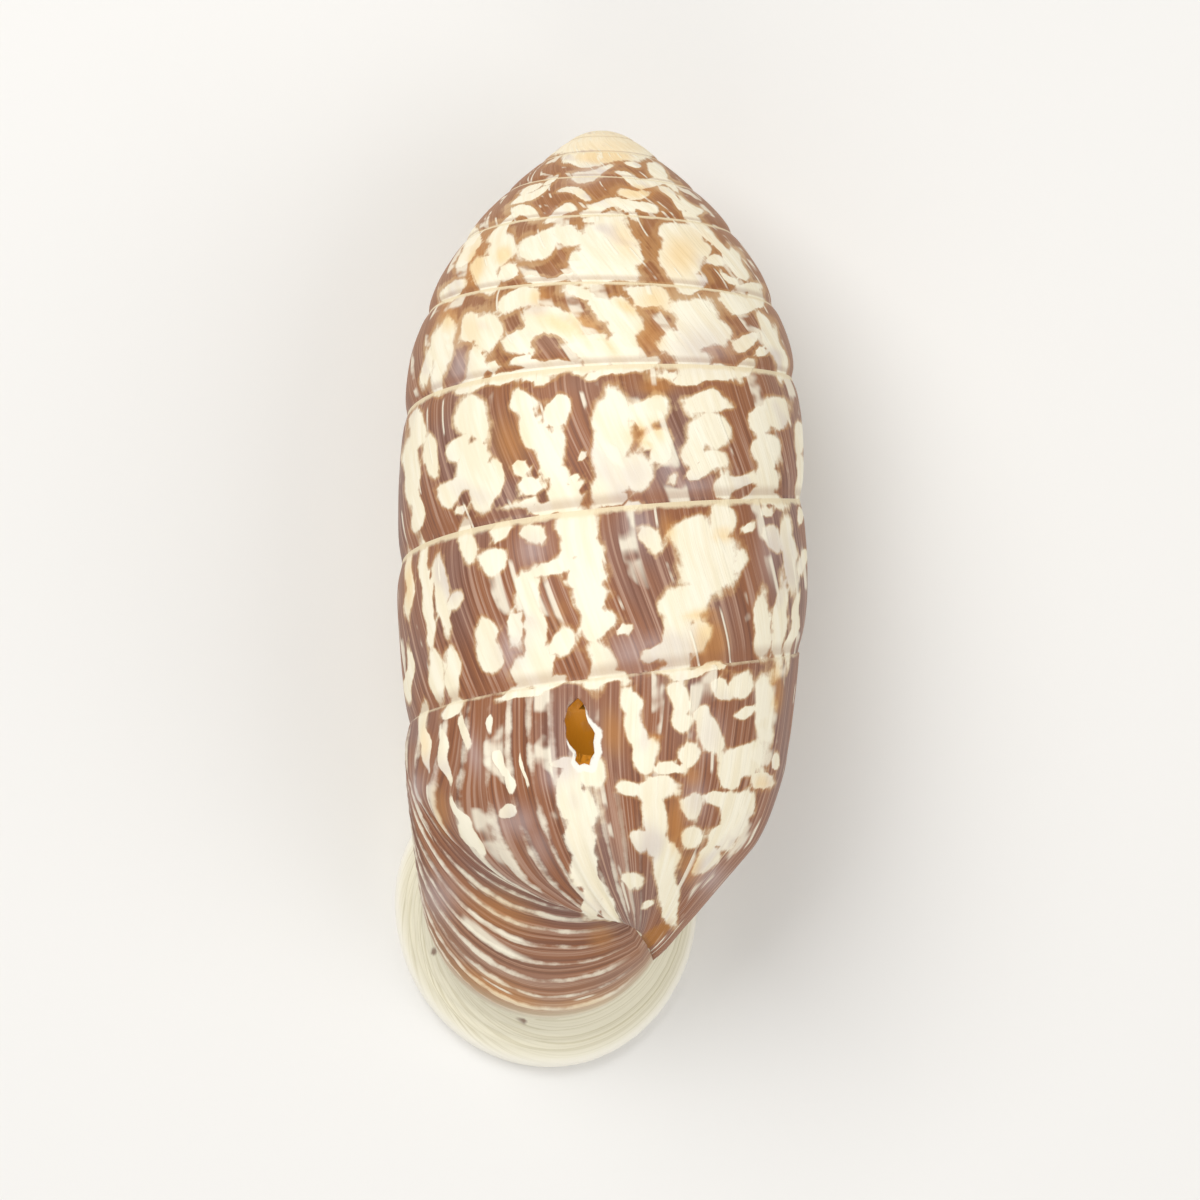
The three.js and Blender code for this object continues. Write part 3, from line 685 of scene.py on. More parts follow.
# Where the light blotches of the back lie, looking straight down on the shell. In
# millimetres: middle across and along, half width, half height; then the slant in degrees
# and, for a faint one, its strength.
LIGHT_BLOTCHES = [
    (4.28, -2.13, 0.35, 0.32, 0), (3.7, -2.3, 0.27, 0.23, 0), (4.92, -2.94, 0.25, 1.04, 0),
    (4.34, -2.97, 0.3, 0.13, 0), (2.43, -2.5, 0.26, 0.46, 10), (2.55, -3.17, 0.28, 0.35, 0),
    (3.07, -2.94, 0.25, 0.22, 0), (3.33, -3.66, 0.3, 0.55, 20), (4.28, -4.3, 0.66, 0.4, 0),
    (3.88, -4.79, 0.27, 0.33, 0), (5.24, -4.3, 0.1, 0.25, 0), (4.83, -4.99, 0.32, 0.27, 0),
    (2.75, -4.09, 0.35, 0.32, 0), (2.17, -4.58, 0.45, 0.18, 0), (1.02, -2.68, 0.31, 0.46, 0),
    (1.16, -3.43, 0.33, 0.55, 15), (1.45, -4.18, 0.35, 0.48, 15), (0.96, -5.16, 0.38, 0.25, 0),
    (1.77, -5.16, 0.61, 0.3, 0), (1.68, -5.83, 0.32, 0.53, 0), (1.77, -6.58, 0.27, 0.63, 0),
    (2, -7.24, 0.35, 0.63, 0), (2.09, -8.08, 0.3, 0.73, 0), (2.17, -8.57, 0.22, 0.55, 0),
    (1.31, -6.58, 0.27, 0.25, 0), (2.84, -5.6, 0.27, 0.4, 0), (2.87, -6.49, 0.31, 0.31, 0),
    (3.59, -5.51, 0.51, 0.22, 0), (3.99, -6, 0.4, 0.63, 0), (3.68, -6.58, 0.35, 0.35, 0),
    (3.24, -7.24, 0.36, 0.25, 30), (4.25, -5.6, 0.36, 0.36, 0), (1.1, -7.79, 0.33, 0.19, 20),
    (1.54, -8.46, 0.16, 0.13, 0), (-0.89, -4.38, 0.4, 0.12, 0), (-0.4, -4.67, 0.53, 0.32, 0),
    (0.06, -4.58, 0.35, 0.4, 0), (-0.75, -5.16, 0.35, 0.5, 0), (-0.49, -5.74, 0.58, 0.71, 0),
    (-0.4, -6.58, 0.51, 0.71, 0), (-0.31, -7.33, 0.42, 0.63, 0), (-0.02, -7.99, 0.35, 0.38, 0),
    (0.44, -8.66, 0.16, 0.58, 24), (-0.08, -8.49, 0.27, 0.35, 0), (-3.75, -3.52, 0.14, 0.55, 12),
    (-3, -3.23, 0.09, 0.32, 0), (-2.71, -4.32, 0.14, 0.45, 20), (-2.42, -4.99, 0.14, 0.48, 15),
    (-2.48, -5.8, 0.32, 0.15, 0), (-2.05, -4.76, 0.07, 0.7, 15, 0.8), (-4.3, -4.09, 0.13, 0.91, 8),
    (-4.88, -3.75, 0.14, 0.91, 4), (-3.72, -6.32, 0.18, 0.63, 25), (-3.38, -6.75, 0.15, 0.43, 20),
    (-3.98, -5.74, 0.12, 0.51, 15), (-4.85, 0.36, 0.15, 1.49, 5), (-4.42, 0.53, 0.18, 1.16, 6),
    (-5.37, 0.76, 0.12, 0.99, 0, 0.8), (-4.56, -1.9, 0.21, 0.75, 5), (-4.1, -1.81, 0.18, 0.83, 8),
    (-5.37, -1.81, 0.1, 0.83, 0), (-3.67, 1.86, 0.2, 0.66, 8), (-2.97, 1.48, 0.38, 0.36, 0),
    (-3.14, -0.6, 0.32, 0.4, 0), (-3.03, -1.29, 0.35, 0.43, 0), (-2.68, 2.38, 0.32, 0.23, 0),
    (-1.99, 0.53, 0.35, 0.58, 0), (-1.73, -0.57, 0.28, 0.99, 5), (-1.56, -1.64, 0.32, 0.58, 0),
    (-2.31, -0.57, 0.22, 0.54, 8), (-2.05, -1.81, 0.4, 0.4, 0), (-1.06, -2.01, 0.5, 0.16, 0),
    (-1.76, 2.24, 0.38, 0.3, 0), (-0.49, 2.44, 0.58, 0.5, 0), (-0.4, 1.86, 0.58, 0.42, 0),
    (-1.06, 1.25, 0.65, 0.27, 0), (-0.31, 1.02, 0.65, 0.4, 0), (-0.14, 0.36, 0.51, 0.5, 0),
    (-0.02, -0.31, 0.4, 0.58, 0), (-0.89, -1, 0.38, 0.48, 0), (0.09, -1.64, 0.43, 0.66, 0),
    (0.81, -0.62, 0.23, 0.18, 0), (1.6, 2.09, 0.22, 0.51, 35), (2.84, 2.18, 0.5, 0.5, 0),
    (3.33, 1.43, 0.81, 0.91, 0), (2.92, 0.44, 0.5, 0.5, 0), (3.68, 2.67, 0.35, 0.35, 0),
    (2.35, 0.1, 0.43, 0.53, 0), (2.35, -1.06, 0.38, 0.99, 0), (2.92, -0.71, 0.35, 0.46, 0),
    (1.77, -1.26, 0.23, 0.13, 0), (4.49, 2.44, 0.22, 0.16, 0), (4.92, 2.87, 0.16, 0.11, 0),
    (5.15, 2.09, 0.27, 0.27, 0), (5.61, 1.77, 0.17, 1.12, 8), (5.93, 2.67, 0.1, 0.27, 0),
    (4.83, -0.57, 0.23, 0.95, 0), (5.35, -0.31, 0.17, 1.25, -4), (5.73, -0.48, 0.11, 0.99, -10),
    (5.99, 1.34, 0.1, 0.35, 0), (3.33, -1.67, 0.5, 0.12, 0), (-5.14, 5.24, 0.22, 0.51, 0),
    (-5.28, 3.91, 0.22, 1.16, 3), (-5.14, 2.76, 0.18, 0.51, 0), (-3.55, 5.53, 0.5, 0.53, 0),
    (-3.98, 4.64, 0.28, 0.28, 0), (-3.35, 4.55, 0.3, 0.25, 0), (-3.55, 3.91, 0.51, 0.6, 0),
    (-3.29, 3.31, 0.35, 0.51, 0), (-4.13, 3.42, 0.36, 0.36, -40), (-3.9, 2.96, 0.22, 0.13, 25),
    (-2.88, 3.85, 0.18, 0.54, 0), (-2.05, 5.96, 0.43, 0.33, 0), (-1.73, 5.16, 0.43, 0.46, 0),
    (-1.24, 4.58, 0.38, 0.71, 0), (-1.03, 3.77, 0.27, 0.46, 0), (-2.13, 4, 0.23, 0.16, 0),
    (-1.82, 3.59, 0.35, 0.32, 0), (-1.06, 5.76, 0.38, 0.4, 0), (-0.37, 4.58, 0.11, 0.09, 0),
    (-0.51, 3.68, 0.18, 0.15, 0), (0.5, 5.59, 0.5, 0.75, 0), (0.44, 4.66, 0.51, 1.08, 0),
    (0.44, 3.71, 0.48, 0.66, 0), (1.25, 4, 0.43, 0.58, 0, 0.85), (1.51, 5.79, 0.63, 0.35, 0),
    (2, 4.43, 0.27, 0.28, 0), (2.17, 3.8, 0.22, 0.28, 0), (3.24, 6.02, 0.7, 0.22, 0),
    (3.24, 5.21, 0.6, 0.48, 0), (2.87, 4.64, 0.33, 0.35, 0), (3.44, 4.29, 0.42, 0.35, 0),
    (2.92, 3.91, 0.32, 0.16, 0), (5.24, 5.76, 0.4, 0.4, 0), (4.77, 5.42, 0.27, 0.35, 0),
    (4.95, 4.58, 0.4, 0.51, 0), (4.98, 3.8, 0.35, 0.51, 0), (4.17, 3.83, 0.53, 0.16, 0),
    (3.73, 3.54, 0.28, 0.35, 0), (5.93, 5.01, 0.16, 0.46, 0), (5.93, 3.91, 0.12, 0.7, 0),
    (-0.8, 3.31, 0.53, 0.16, 0), (-2.22, 8.94, 0.51, 0.25, 20), (-0.49, 9.2, 0.46, 0.16, -5),
    (0.15, 8.74, 0.47, 0.28, -30), (0.81, 8.36, 0.47, 0.51, 20), (0.84, 7.53, 0.42, 0.51, 0),
    (1.33, 7.15, 0.51, 0.22, 0), (-1.47, 8.54, 0.51, 0.38, 0), (-0.89, 8.07, 0.6, 0.42, -20),
    (-0.14, 7.53, 0.66, 0.42, -30), (-1.73, 8.16, 0.27, 0.4, 0), (-1.24, 7.03, 0.91, 0.2, 0),
    (-2.22, 7.7, 0.35, 0.23, 0), (-2.05, 7.18, 0.46, 0.16, 0), (-3.06, 8.05, 0.32, 0.55, 0),
    (-2.97, 7.15, 0.18, 0.15, 0), (-2.71, 6.77, 0.3, 0.15, 0), (-4.39, 7.61, 0.28, 0.75, -8),
    (-3.46, 6.95, 0.23, 0.5, 0), (-4.56, 6.66, 0.16, 0.42, 0), (1.51, 9.12, 0.7, 0.2, -14),
    (2.75, 8.54, 0.76, 0.51, 0), (2.58, 7.7, 0.6, 0.51, 0), (3.42, 7.99, 0.5, 0.42, 0),
    (2.84, 7.15, 0.5, 0.3, 0), (4.17, 8.85, 0.5, 0.15, -8), (4.66, 8.94, 0.28, 0.2, -20),
    (4.95, 7.99, 0.16, 0.63, 22), (5.29, 7.47, 0.18, 0.7, 12), (4.4, 7.76, 0.35, 0.15, 10),
    (4.83, 7.44, 0.15, 0.15, 0), (4.34, 7.03, 0.25, 0.3, 0), (3.59, 6.86, 0.5, 0.25, 0),
    (-4.88, 6.95, 0.13, 0.58, -6), (-1.56, 10.62, 0.79, 0.32, 35), (-1.7, 9.58, 0.43, 0.18, 0),
    (-1.06, 9.52, 0.42, 0.12, 0), (0.38, 10.53, 0.8, 0.79, 0), (0.44, 9.84, 0.99, 0.32, 0),
    (-0.4, 10.01, 0.33, 0.5, 0), (2.43, 10.85, 0.6, 0.33, 0), (2.49, 10.18, 0.63, 0.73, 0),
    (2.72, 9.52, 0.5, 0.23, 0), (3.59, 10.47, 0.83, 0.12, -48), (3.5, 10.01, 0.25, 0.15, 0),
    (3.88, 9.66, 0.25, 0.1, -20), (4.17, 10.01, 0.18, 0.5, 30), (4.4, 9.29, 0.42, 0.13, -15),
    (-2.71, 10.53, 0.36, 0.51, 0), (-3.14, 9.66, 0.36, 0.43, 0), (-2.48, 9.78, 0.25, 0.18, 0),
    (-3.72, 10.27, 0.18, 0.4, -25), (-4.13, 9.29, 0.33, 0.18, 20), (-3.46, 10.68, 0.13, 0.25, -20),
    (-0.57, 12.03, 0.43, 0.09, 0), (-2.05, 11.46, 0.38, 0.15, 0), (-2.05, 11.86, 0.42, 0.11, 25),
    (-2.65, 11.08, 0.55, 0.11, 32), (0.27, 11.77, 0.5, 0.16, 0), (-0.14, 11.57, 0.35, 0.15, 0),
    (0.84, 11.57, 0.42, 0.1, -25), (1.16, 12.09, 0.43, 0.15, 0), (1.45, 11.66, 0.42, 0.11, -20),
    (2.2, 11.92, 0.36, 0.1, -42), (0.09, 11.34, 0.5, 0.1, 0), (2.75, 11.43, 0.42, 0.1, -42),
    (3.16, 10.85, 0.5, 0.08, -45), (-0.89, 10.91, 0.42, 0.08, 8), (-0.23, 12.58, 0.48, 0.2, 20),
    (1.1, 12.87, 0.22, 0.08, 0), (1.1, 12.47, 0.58, 0.07, -5), (1.77, 12.67, 0.33, 0.12, -35),
    (2.17, 12.27, 0.33, 0.08, -42), (-1.82, 12.24, 0.42, 0.08, 35), (-1.24, 12.53, 0.16, 0.07, 35),
    (0.35, 13.42, 1.82, 0.42, 0), (-0.4, 13.02, 0.5, 0.12, 10), (-1.44, 3.02, 1.16, 0.13, 4),
    (0.73, 3.05, 0.69, 0.12, 0), (4.92, 3.22, 0.69, 0.12, 0), (-2.16, -2.39, 0.75, 0.14, 7),
    (0.15, -2.07, 0.92, 0.14, 3), (2.75, -1.75, 0.98, 0.12, 3), (-4.13, -2.82, 0.35, 0.17, 20),
    (-2.16, 6.69, 0.98, 0.14, 6), (0.15, 6.92, 0.87, 0.12, 0), (3.04, 6.72, 1.16, 0.14, -2),
    (-3.61, 6.46, 0.46, 0.17, 14), (1.74, 4.92, 0.4, 0.29, 0, 0.9), (-3.38, 5.21, 0.23, 0.4, 10),
    (3.04, 4.06, 0.35, 0.26, 0), (-4.76, 4.49, 0.2, 0.58, 5), (-1.12, 4.49, 0.23, 0.35, 0, 0.9),
    (-0.14, 1.46, 0.35, 0.4, 0, 0.9), (0.32, -0.28, 0.4, 0.35, 0, 0.9),
    (-4.04, 0.3, 0.2, 0.35, 10, 0.9), (4.2, 1.46, 0.23, 0.46, 0, 0.7), (1.74, -1.29, 0.4, 0.26, 0, 0.9),
    (-1.01, -0.86, 0.29, 0.35, 0, 0.8), (4.05, 8.97, 0.4, 0.2, -20), (-3.61, 8.1, 0.26, 0.35, -10),
    (-0.14, 7.81, 0.46, 0.23, 10), (-2.16, 8.97, 0.52, 0.23, 20), (-2.16, 7.67, 0.46, 0.29, 0),
    (3.04, 7.81, 0.46, 0.35, 0), (1.31, 10.42, 0.35, 0.46, 0, 0.8), (-3.03, 9.98, 0.29, 0.26, 20, 0.9),
    (-0.72, 10.7, 0.35, 0.2, 20), (0.87, 11.72, 0.58, 0.14, 0), (-1.01, 11.51, 0.46, 0.12, 20),
    (3.04, 10.42, 0.29, 0.23, -40, 0.9), (1.6, 12.44, 0.69, 0.12, -10), (-0.14, 12.67, 0.58, 0.12, 10),
    (2.75, 11.72, 0.4, 0.12, -35), (-1.58, 12.15, 0.4, 0.1, 35),
]
# Brown places that cut into them.
BROWN_PLACES = [
    (0.44, -3.52, 0.38, 0.79, 8), (-0.49, -1.67, 0.38, 0.3, 0), (2.06, 4, 0.15, 0.2, 0),
    (-3.81, 3.19, 0.25, 0.15, 25, 0.8), (-0.8, 1.11, 0.12, 0.12, 0, 0.5),
    (-1.32, 7.79, 0.42, 0.2, 0, 0.9), (-0.89, 7.35, 0.43, 0.1, -15, 0.9),
    (-0.4, 8.85, 0.5, 0.12, -35, 0.8), (-1.24, 9.69, 0.3, 0.12, 0, 0.6),
    (1.51, 10.53, 0.22, 0.42, 15, 0.8), (1.6, 9.87, 0.25, 0.3, 30, 0.7),
    (2.09, 8.45, 0.33, 0.25, 0, 0.7),
]
# Places tinged tan to ochre, and milky lilac places.
TAN_PLACES = [
    (5.24, -2.27, 0.21, 0.75, 0), (4.86, -4.99, 0.29, 0.29, 0, 0.7), (2.35, -6.17, 0.25, 0.83, 0, 0.9),
    (2.75, -7.42, 0.35, 0.51, 0, 0.9), (1.77, -3.66, 0.22, 0.16, 0, 0.8),
    (-4.42, -5.74, 0.22, 0.75, 10, 0.7), (-4.88, -3.83, 0.16, 0.75, 0, 0.6),
    (-2.71, -8.66, 1.25, 0.75, -20, 0.6), (2.84, -4.84, 0.22, 0.33, 0, 0.8),
    (0.18, -9.41, 0.42, 0.42, 0, 0.7), (0.5, -3.52, 0.36, 0.79, 8, 0.7),
    (-2.48, 4.84, 0.55, 0.91, 15, 0.7), (1.51, 5.1, 0.6, 0.42, 0, 0.9),
    (2.09, 2.35, 0.25, 0.47, 15, 0.8), (3.73, 2.18, 0.35, 0.25, 0, 0.8),
    (3.33, -0.97, 0.47, 0.75, 0, 1.1), (3.07, -0.13, 0.51, 0.2, 10, 0.9),
    (-1.24, 2.76, 1.08, 0.16, 0, 0.5), (-1.06, -0.05, 0.33, 0.42, 0, 0.6),
    (-5.37, 0.76, 0.15, 0.83, 0, 0.8), (0.35, 13.42, 1.74, 0.37, 0, 0.6),
    (0.27, 13.1, 0.7, 0.18, 0, 1.3), (-0.31, 8.25, 0.58, 0.28, -30), (0.18, 7.67, 0.5, 0.23, -30, 0.9),
    (0.93, 8.77, 0.5, 0.18, -30, 0.8), (2.49, 10.27, 0.58, 0.66, 0, 0.8),
    (0.84, 10.68, 0.5, 0.75, 20, 0.6), (-2.65, 10.27, 0.23, 0.28, 0), (1.6, 7.87, 0.43, 0.5, 0, 0.8),
    (1.25, 12.09, 0.7, 0.2, 0, 0.9), (-4.21, 8.54, 0.35, 0.5, 0, 0.8), (-3.46, 9.95, 0.25, 0.66, -10),
    (-1.56, 9.03, 0.42, 0.28, 0, 0.8), (1.77, 6.46, 0.5, 0.28, 0, 0.9),
    (-1.01, 8.25, 0.87, 0.29, -25, 0.8), (1.74, 8.97, 0.58, 0.52, 20, 0.7),
    (-3.32, 10.42, 0.87, 0.58, 30, 0.5), (3.04, 10.7, 0.87, 0.52, -30, 0.5),
    (-3.61, 8.1, 0.58, 0.87, 0, 0.5), (0.15, 12.15, 1.45, 0.4, 0, 0.4),
    (4.2, 7.53, 0.58, 0.87, 20, 0.4), (-2.74, -10.97, 1.73, 0.35, -25, 0.7),
    (0.15, -11.35, 1.45, 0.23, 5, 0.7), (-3.61, -8.37, 0.87, 1.16, 30, 0.4),
]
LILAC_PLACES = [
    (2.92, -5.51, 0.27, 0.47, 0, 0.8), (3.33, -3.6, 0.35, 0.5, 0, 0.6),
    (-4.47, -8.23, 0.42, 0.5, 30, 0.8), (-2.31, -6.09, 0.5, 0.36, 0, 0.8),
    (3.33, -7.73, 0.38, 0.33, 40, 0.8), (-1.24, -4.76, 0.27, 0.35, 0, 0.8),
    (-3.46, -4.18, 0.16, 0.5, 10, 0.7), (-5.14, -5.16, 0.16, 0.42, 0, 0.8),
    (-1.56, -6.75, 0.25, 0.5, 20, 0.5), (1.13, 3.91, 0.5, 0.47, 0, 0.8),
    (2.84, 3.59, 0.53, 0.23, 0, 0.8), (1.02, -1.23, 0.51, 0.5, 0, 0.8),
    (1.68, -0.97, 0.33, 0.27, 0, 0.7), (-2.42, -1.15, 0.38, 0.5, 0, 0.9),
    (-1.82, 1.77, 0.35, 0.42, 0, 0.8), (2.17, 4.09, 0.33, 0.55, 0, 0.7),
    (1.25, 2.53, 0.33, 0.5, 15, 0.7), (4.98, 1.77, 0.25, 0.83, 0, 0.5),
    (-0.23, 12.58, 0.5, 0.22, 20, 0.9), (3.07, 7.61, 0.7, 0.5, 0, 0.9), (-3.9, 7.03, 0.23, 0.47, 0),
    (-1.06, 11.43, 0.25, 0.16, 0, 0.6),
]
# Growth numbered along the last whorl so that its ribs stay evenly spaced where they turn
# into the neck, and how far ahead of the rings the growth lines bow.
GROWTH_NUMBERS = [(-0.2, -0.2), (0.2, 0.2), (0.36, 0.36), (0.46, 0.41), (0.66, 0.6), (0.8, 0.74)]
LINE_BOW = 0.06
# The last whorl's shares are kept negative, so that the lines beside the sutures of the
# spire stay off it, and stretched to the height of the whorls above.
TUBE_SHARE = -1.9
# Two dark specks on the lip.
LIP_SPECKS = [(-4.68, -9.82, 0.13, 0.1, 20), (-2.13, -11.84, 0.14, 0.09, -30)]
# The brown slit of the umbilicus, laid out as the blotches are, whose brown is the inside's ochre and
# partly painted shade in the groove; and the groove cut there:
# place across, depth, height above the table, half sizes and slant.
CHINK_PLACE = (1.62, -9.47, 0.72, 0.2, 38)
CHINK = (1.43, 24.34, 9.16, (0.8, 0.2, 0.35), 38)
# The tooth and the fold inside the mouth, in the same way.
TOOTH = (-1.6, 19.95, 2.4, (0.28, 0.55, 1.3), 0)
FOLD = (1.35, 22.6, 2.8, (0.45, 0.3, 1.4), -20)


def shell_frame(world):
    """Points of the frame, in metres, back in the shell's own millimetres."""
    p = np.asarray(world, float) / MM - [AXIS_X, APEX_Y, 0]
    c, s = math.cos(REST_TILT), math.sin(REST_TILT)
    y, z = p[:, 1] * c - p[:, 2] * s, p[:, 1] * s + p[:, 2] * c
    return np.stack([p[:, 0], y, z], 1) - [0, BELLY_DEPTH, float(table_distance(BELLY_DEPTH))]


def turn_of(local, shift):
    """The turn at which points stand round the axis, as a part of a whole turn."""
    depth = -local[:, 1]
    centre = shift * smooth(depth, *SHIFT_DEPTHS)
    return np.arctan2(local[:, 2], local[:, 0] - centre) / TAU


def laid_out(world):
    """Points of the frame as they lie in the layout of the blotches: drawn from the eye's
    place above the shell onto a level 10 mm above the table."""
    p = np.asarray(world, float) / MM
    k = (CAMERA_HEIGHT - LAYOUT_LEVEL) / (CAMERA_HEIGHT - p[:, 2])
    return CAMERA_X + (p[:, 0] - CAMERA_X) * k, CAMERA_Y + (p[:, 1] - CAMERA_Y) * k


def blotch_field(x, y, blotches):
    """The strongest of soft ellipses at each point: 1 in their middles, 0.5 at their edges."""
    field = np.zeros(len(x))
    for cx, cy, half_width, half_height, slant, *faint in blotches:
        c, s = math.cos(math.radians(slant)), math.sin(math.radians(slant))
        u = ((x - cx) * c + (y - cy) * s) / half_width
        v = (-(x - cx) * s + (y - cy) * c) / half_height
        strength = faint[0] if faint else 1.0
        field = np.maximum(field, strength * np.exp(-math.log(2) * (u * u + v * v)))
    return field


def outline_distance(x, y, outline):
    """Distance of points from a closed outline, negative inside."""
    best = np.full(len(x), 1e9)
    inside = np.zeros(len(x), bool)
    points = np.array(outline, float)
    for (ax, ay), (bx, by) in zip(points, np.roll(points, -1, 0)):
        wide, high = bx - ax, by - ay
        t = np.clip(((x - ax) * wide + (y - ay) * high) / (wide ** 2 + high ** 2), 0, 1)
        best = np.minimum(best, np.hypot(x - ax - t * wide, y - ay - t * high))
        if ay != by:
            crosses = (ay > y) != (by > y)
            inside ^= crosses & (x < (bx - ax) * (y - ay) / (by - ay) + ax)
    return np.where(inside, -best, best)


def store(mesh, name, values):
    """Keeps a number for every point of a mesh under a name."""
    attribute = mesh.attributes.new(name, "FLOAT", "POINT")
    attribute.data.foreach_set("value", np.asarray(values, np.float32))


def face_of_each_corner(mesh):
    start = numbers(mesh.polygons, "loop_start", kind=int)
    total = numbers(mesh.polygons, "loop_total", kind=int)
    corner = np.concatenate([np.arange(a, a + n) for a, n in zip(start, total)])
    face = np.empty(len(corner), int)
    face[corner] = np.repeat(np.arange(len(start)), total)
    return face


def nearest_growth(world, chosen, ring_points, grown):
    """Turn, share and lip of the point drawn on the last whorl that is nearest to each of
    the chosen points, and its distance in millimetres."""
    near = kdtree.KDTree(len(ring_points))
    for i, point in enumerate(laid_down(ring_points)):
        near.insert(point, i)
    near.balance()
    turn, share, lip = np.zeros((3, len(world)))
    gap = np.full(len(world), 1.0)
    for v in chosen:
        _, i, distance = near.find(world[v])
        turn[v], share[v], lip[v] = grown[i]
        gap[v] = distance / MM
    return turn, share, lip, gap


def spire_growth(local, middle, corner_vert, face_of, shift):
    """Turn and share of each corner from its own place on the spire, face by face, so that
    the turn never jumps inside a face."""
    part = turn_of(middle, shift)
    whole = np.full(len(middle), float(FIRST_TURN))
    for k in range(FIRST_TURN - 1, 1):
        turn = part + k
        here = (turn >= FIRST_TURN) & (suture_depth(turn) <= -middle[:, 1])
        whole = np.where(here & (turn < 0.05), np.maximum(whole, turn), whole)
    swing = turn_of(local[corner_vert], shift) - part[face_of]
    swing -= np.round(swing)
    turn = whole[face_of] + swing
    top, foot = suture_depth(turn), suture_depth(turn + 1)
    share = np.clip((-local[corner_vert][:, 1] - top) / np.maximum(foot - top, 0.01), -0.1, 1.1)
    return turn - growth_lean(share * 0.54), share


def note_growth(made, ring_points, grown, shift):
    """Stores on the shell where each place grew. Returns which points are on its outside."""
    mesh = made.data
    world = numbers(mesh.vertices, "co", 3)
    local = shell_frame(world)
    middle = shell_frame(numbers(mesh.polygons, "center", 3))
    corner_vert = numbers(mesh.loops, "vertex_index", kind=int)
    face_of = face_of_each_corner(mesh)
    names = np.array([mark.name.split(".")[0] for mark in mesh.materials])
    part_of = names[numbers(mesh.polygons, "material_index", kind=int)][face_of]
    from_tube, from_spire = part_of == "last whorl", part_of == "spire"

    chosen = np.unique(corner_vert[from_tube])
    turn_at, share_at, lip_at, gap_at = nearest_growth(world, chosen, ring_points, grown)
    tube_turn = curve_through(GROWTH_NUMBERS)(turn_at) - LINE_BOW * smooth(share_at, 0, 0.8)
    spire_turn, spire_share = spire_growth(local, middle, corner_vert, face_of, shift)
    turn = np.where(from_tube, tube_turn[corner_vert], spire_turn)
    share = np.where(from_tube, share_at[corner_vert] * TUBE_SHARE, spire_share)
    layer = mesh.uv_layers.new(name="Growth")
    layer.data.foreach_set("uv", np.stack([turn, share], 1).astype(np.float32).ravel())
    point_turn = np.zeros(len(world))
    point_turn[corner_vert] = turn
    store(mesh, "turn", point_turn)

    outer_tube = gap_at < WALL / 2.2
    along = smooth(turn_at, *RIBS_BEGIN) * (1 - smooth(turn_at, *RIBS_END))
    across = smooth(share_at, 0, 0.1) * (1 - smooth(share_at, 0.9, 0.99))
    store(mesh, "ribbed", along * across * outer_tube * (lip_at < 0.5))
    store(mesh, "lip", outer_tube * (smooth(turn_at, *LIP_BEGINS) + smooth(turn_at, *RIM_BEGINS)))
    spire_points = np.zeros(len(world), bool)
    spire_points[corner_vert[from_spire]] = True
    return outer_tube | spire_points


def note_markings(made, outside):
    """Stores on the shell the fields that its markings, hole and inside follow."""
    mesh = made.data
    world = numbers(mesh.vertices, "co", 3)
    local = shell_frame(world)
    facing = numbers(mesh.vertices, "normal", 3)[:, 2]
    x, y = laid_out(world)

    hole = outline_distance(local[:, 0] - HOLE_X, -local[:, 1] - HOLE_DEPTH, HOLE_OUTLINE)
    deep = local[:, 2] < HOLE_FLOOR + HOLE_MARGIN
    # Painted glow: the inside under the hole is made to emit light, standing in for light through the thin
    # wall.
    store(mesh, "glow", deep * (local[:, 2] > 2) * (1 - smooth(hole, 0.1, 0.6)))
    # The chalky edge is wider on the right of the hole and towards the mouth.
    towards = (local[:, 0] - HOLE_X) / 0.5 - (local[:, 1] + HOLE_DEPTH) / 0.9
    uneven = hole - 0.11 * np.clip(towards, -1.0, 1.3)
    store(mesh, "hole", np.where((facing > -0.3) & ~deep, uneven, 1.0))
    # The slit is painted with the inside's ochre at 0.6: partly the inside seen through it, partly painted
    # shade in the groove.
    shaded_slit = smooth(blotch_field(x, y, [CHINK_PLACE]), 0.4, 0.6) * smooth(world[:, 2] / MM, 5.5, 7)
    store(mesh, "inside", np.maximum(~outside | (deep & (hole < 0.15)), 0.6 * shaded_slit))

    # The layout is warped a little, so that the ellipses' edges waver.
    wavy_x = x + 0.04 * np.sin(5.7 * y + 1.3) + 0.03 * np.sin(4.2 * x + 2.7 * y)
    wavy_y = y + 0.087 * np.sin(4.5 * x + 2.0) + 0.07 * np.sin(2 * x - 5.2 * y)
    light = blotch_field(wavy_x, wavy_y, LIGHT_BLOTCHES) * (1 - blotch_field(x, y, BROWN_PLACES))
    tip = 1 - smooth(-local[:, 1], 0.5, 1.2)
    store(mesh, "light", np.maximum(light, tip))
    store(mesh, "tan", np.maximum(blotch_field(x, y, TAN_PLACES), tip * 0.5))
    store(mesh, "lilac", blotch_field(x, y, LILAC_PLACES))
    store(mesh, "speck", blotch_field(x, y, LIP_SPECKS) * smooth(facing, 0, 0.2))
    store(mesh, "seen", np.maximum(smooth(facing, -0.1, 0.06), tip))


# Streaks that follow growth: how many to a turn and to a whorl's height, detail, roughness.
# A turn of the last whorl is 37 mm long, so 300 to a turn is a line every 0.12 mm.
STREAKS = {
    "streak": (91, 1.3, 3.0, 0.6),
    "fine": (300, 0.45, 2.0, 0.6),
    "column": (19, 0.55, 2.0, 0.5),
    "lump": (22, 2.9, 2.5, 0.5),
    "hue": (11, 0.9, 2.0, 0.5),
    "haze": (18, 1.4, 2.0, 0.5),
    "thread": (22, 0.12, 1.0, 0.5),
    "rim": (430, 0.2, 2.0, 0.5),
}


# The fields stored on the shell that its material reads.
MARK_FIELDS = ("light", "seen", "tan", "lilac", "ribbed", "lip", "speck", "inside", "glow", "hole")


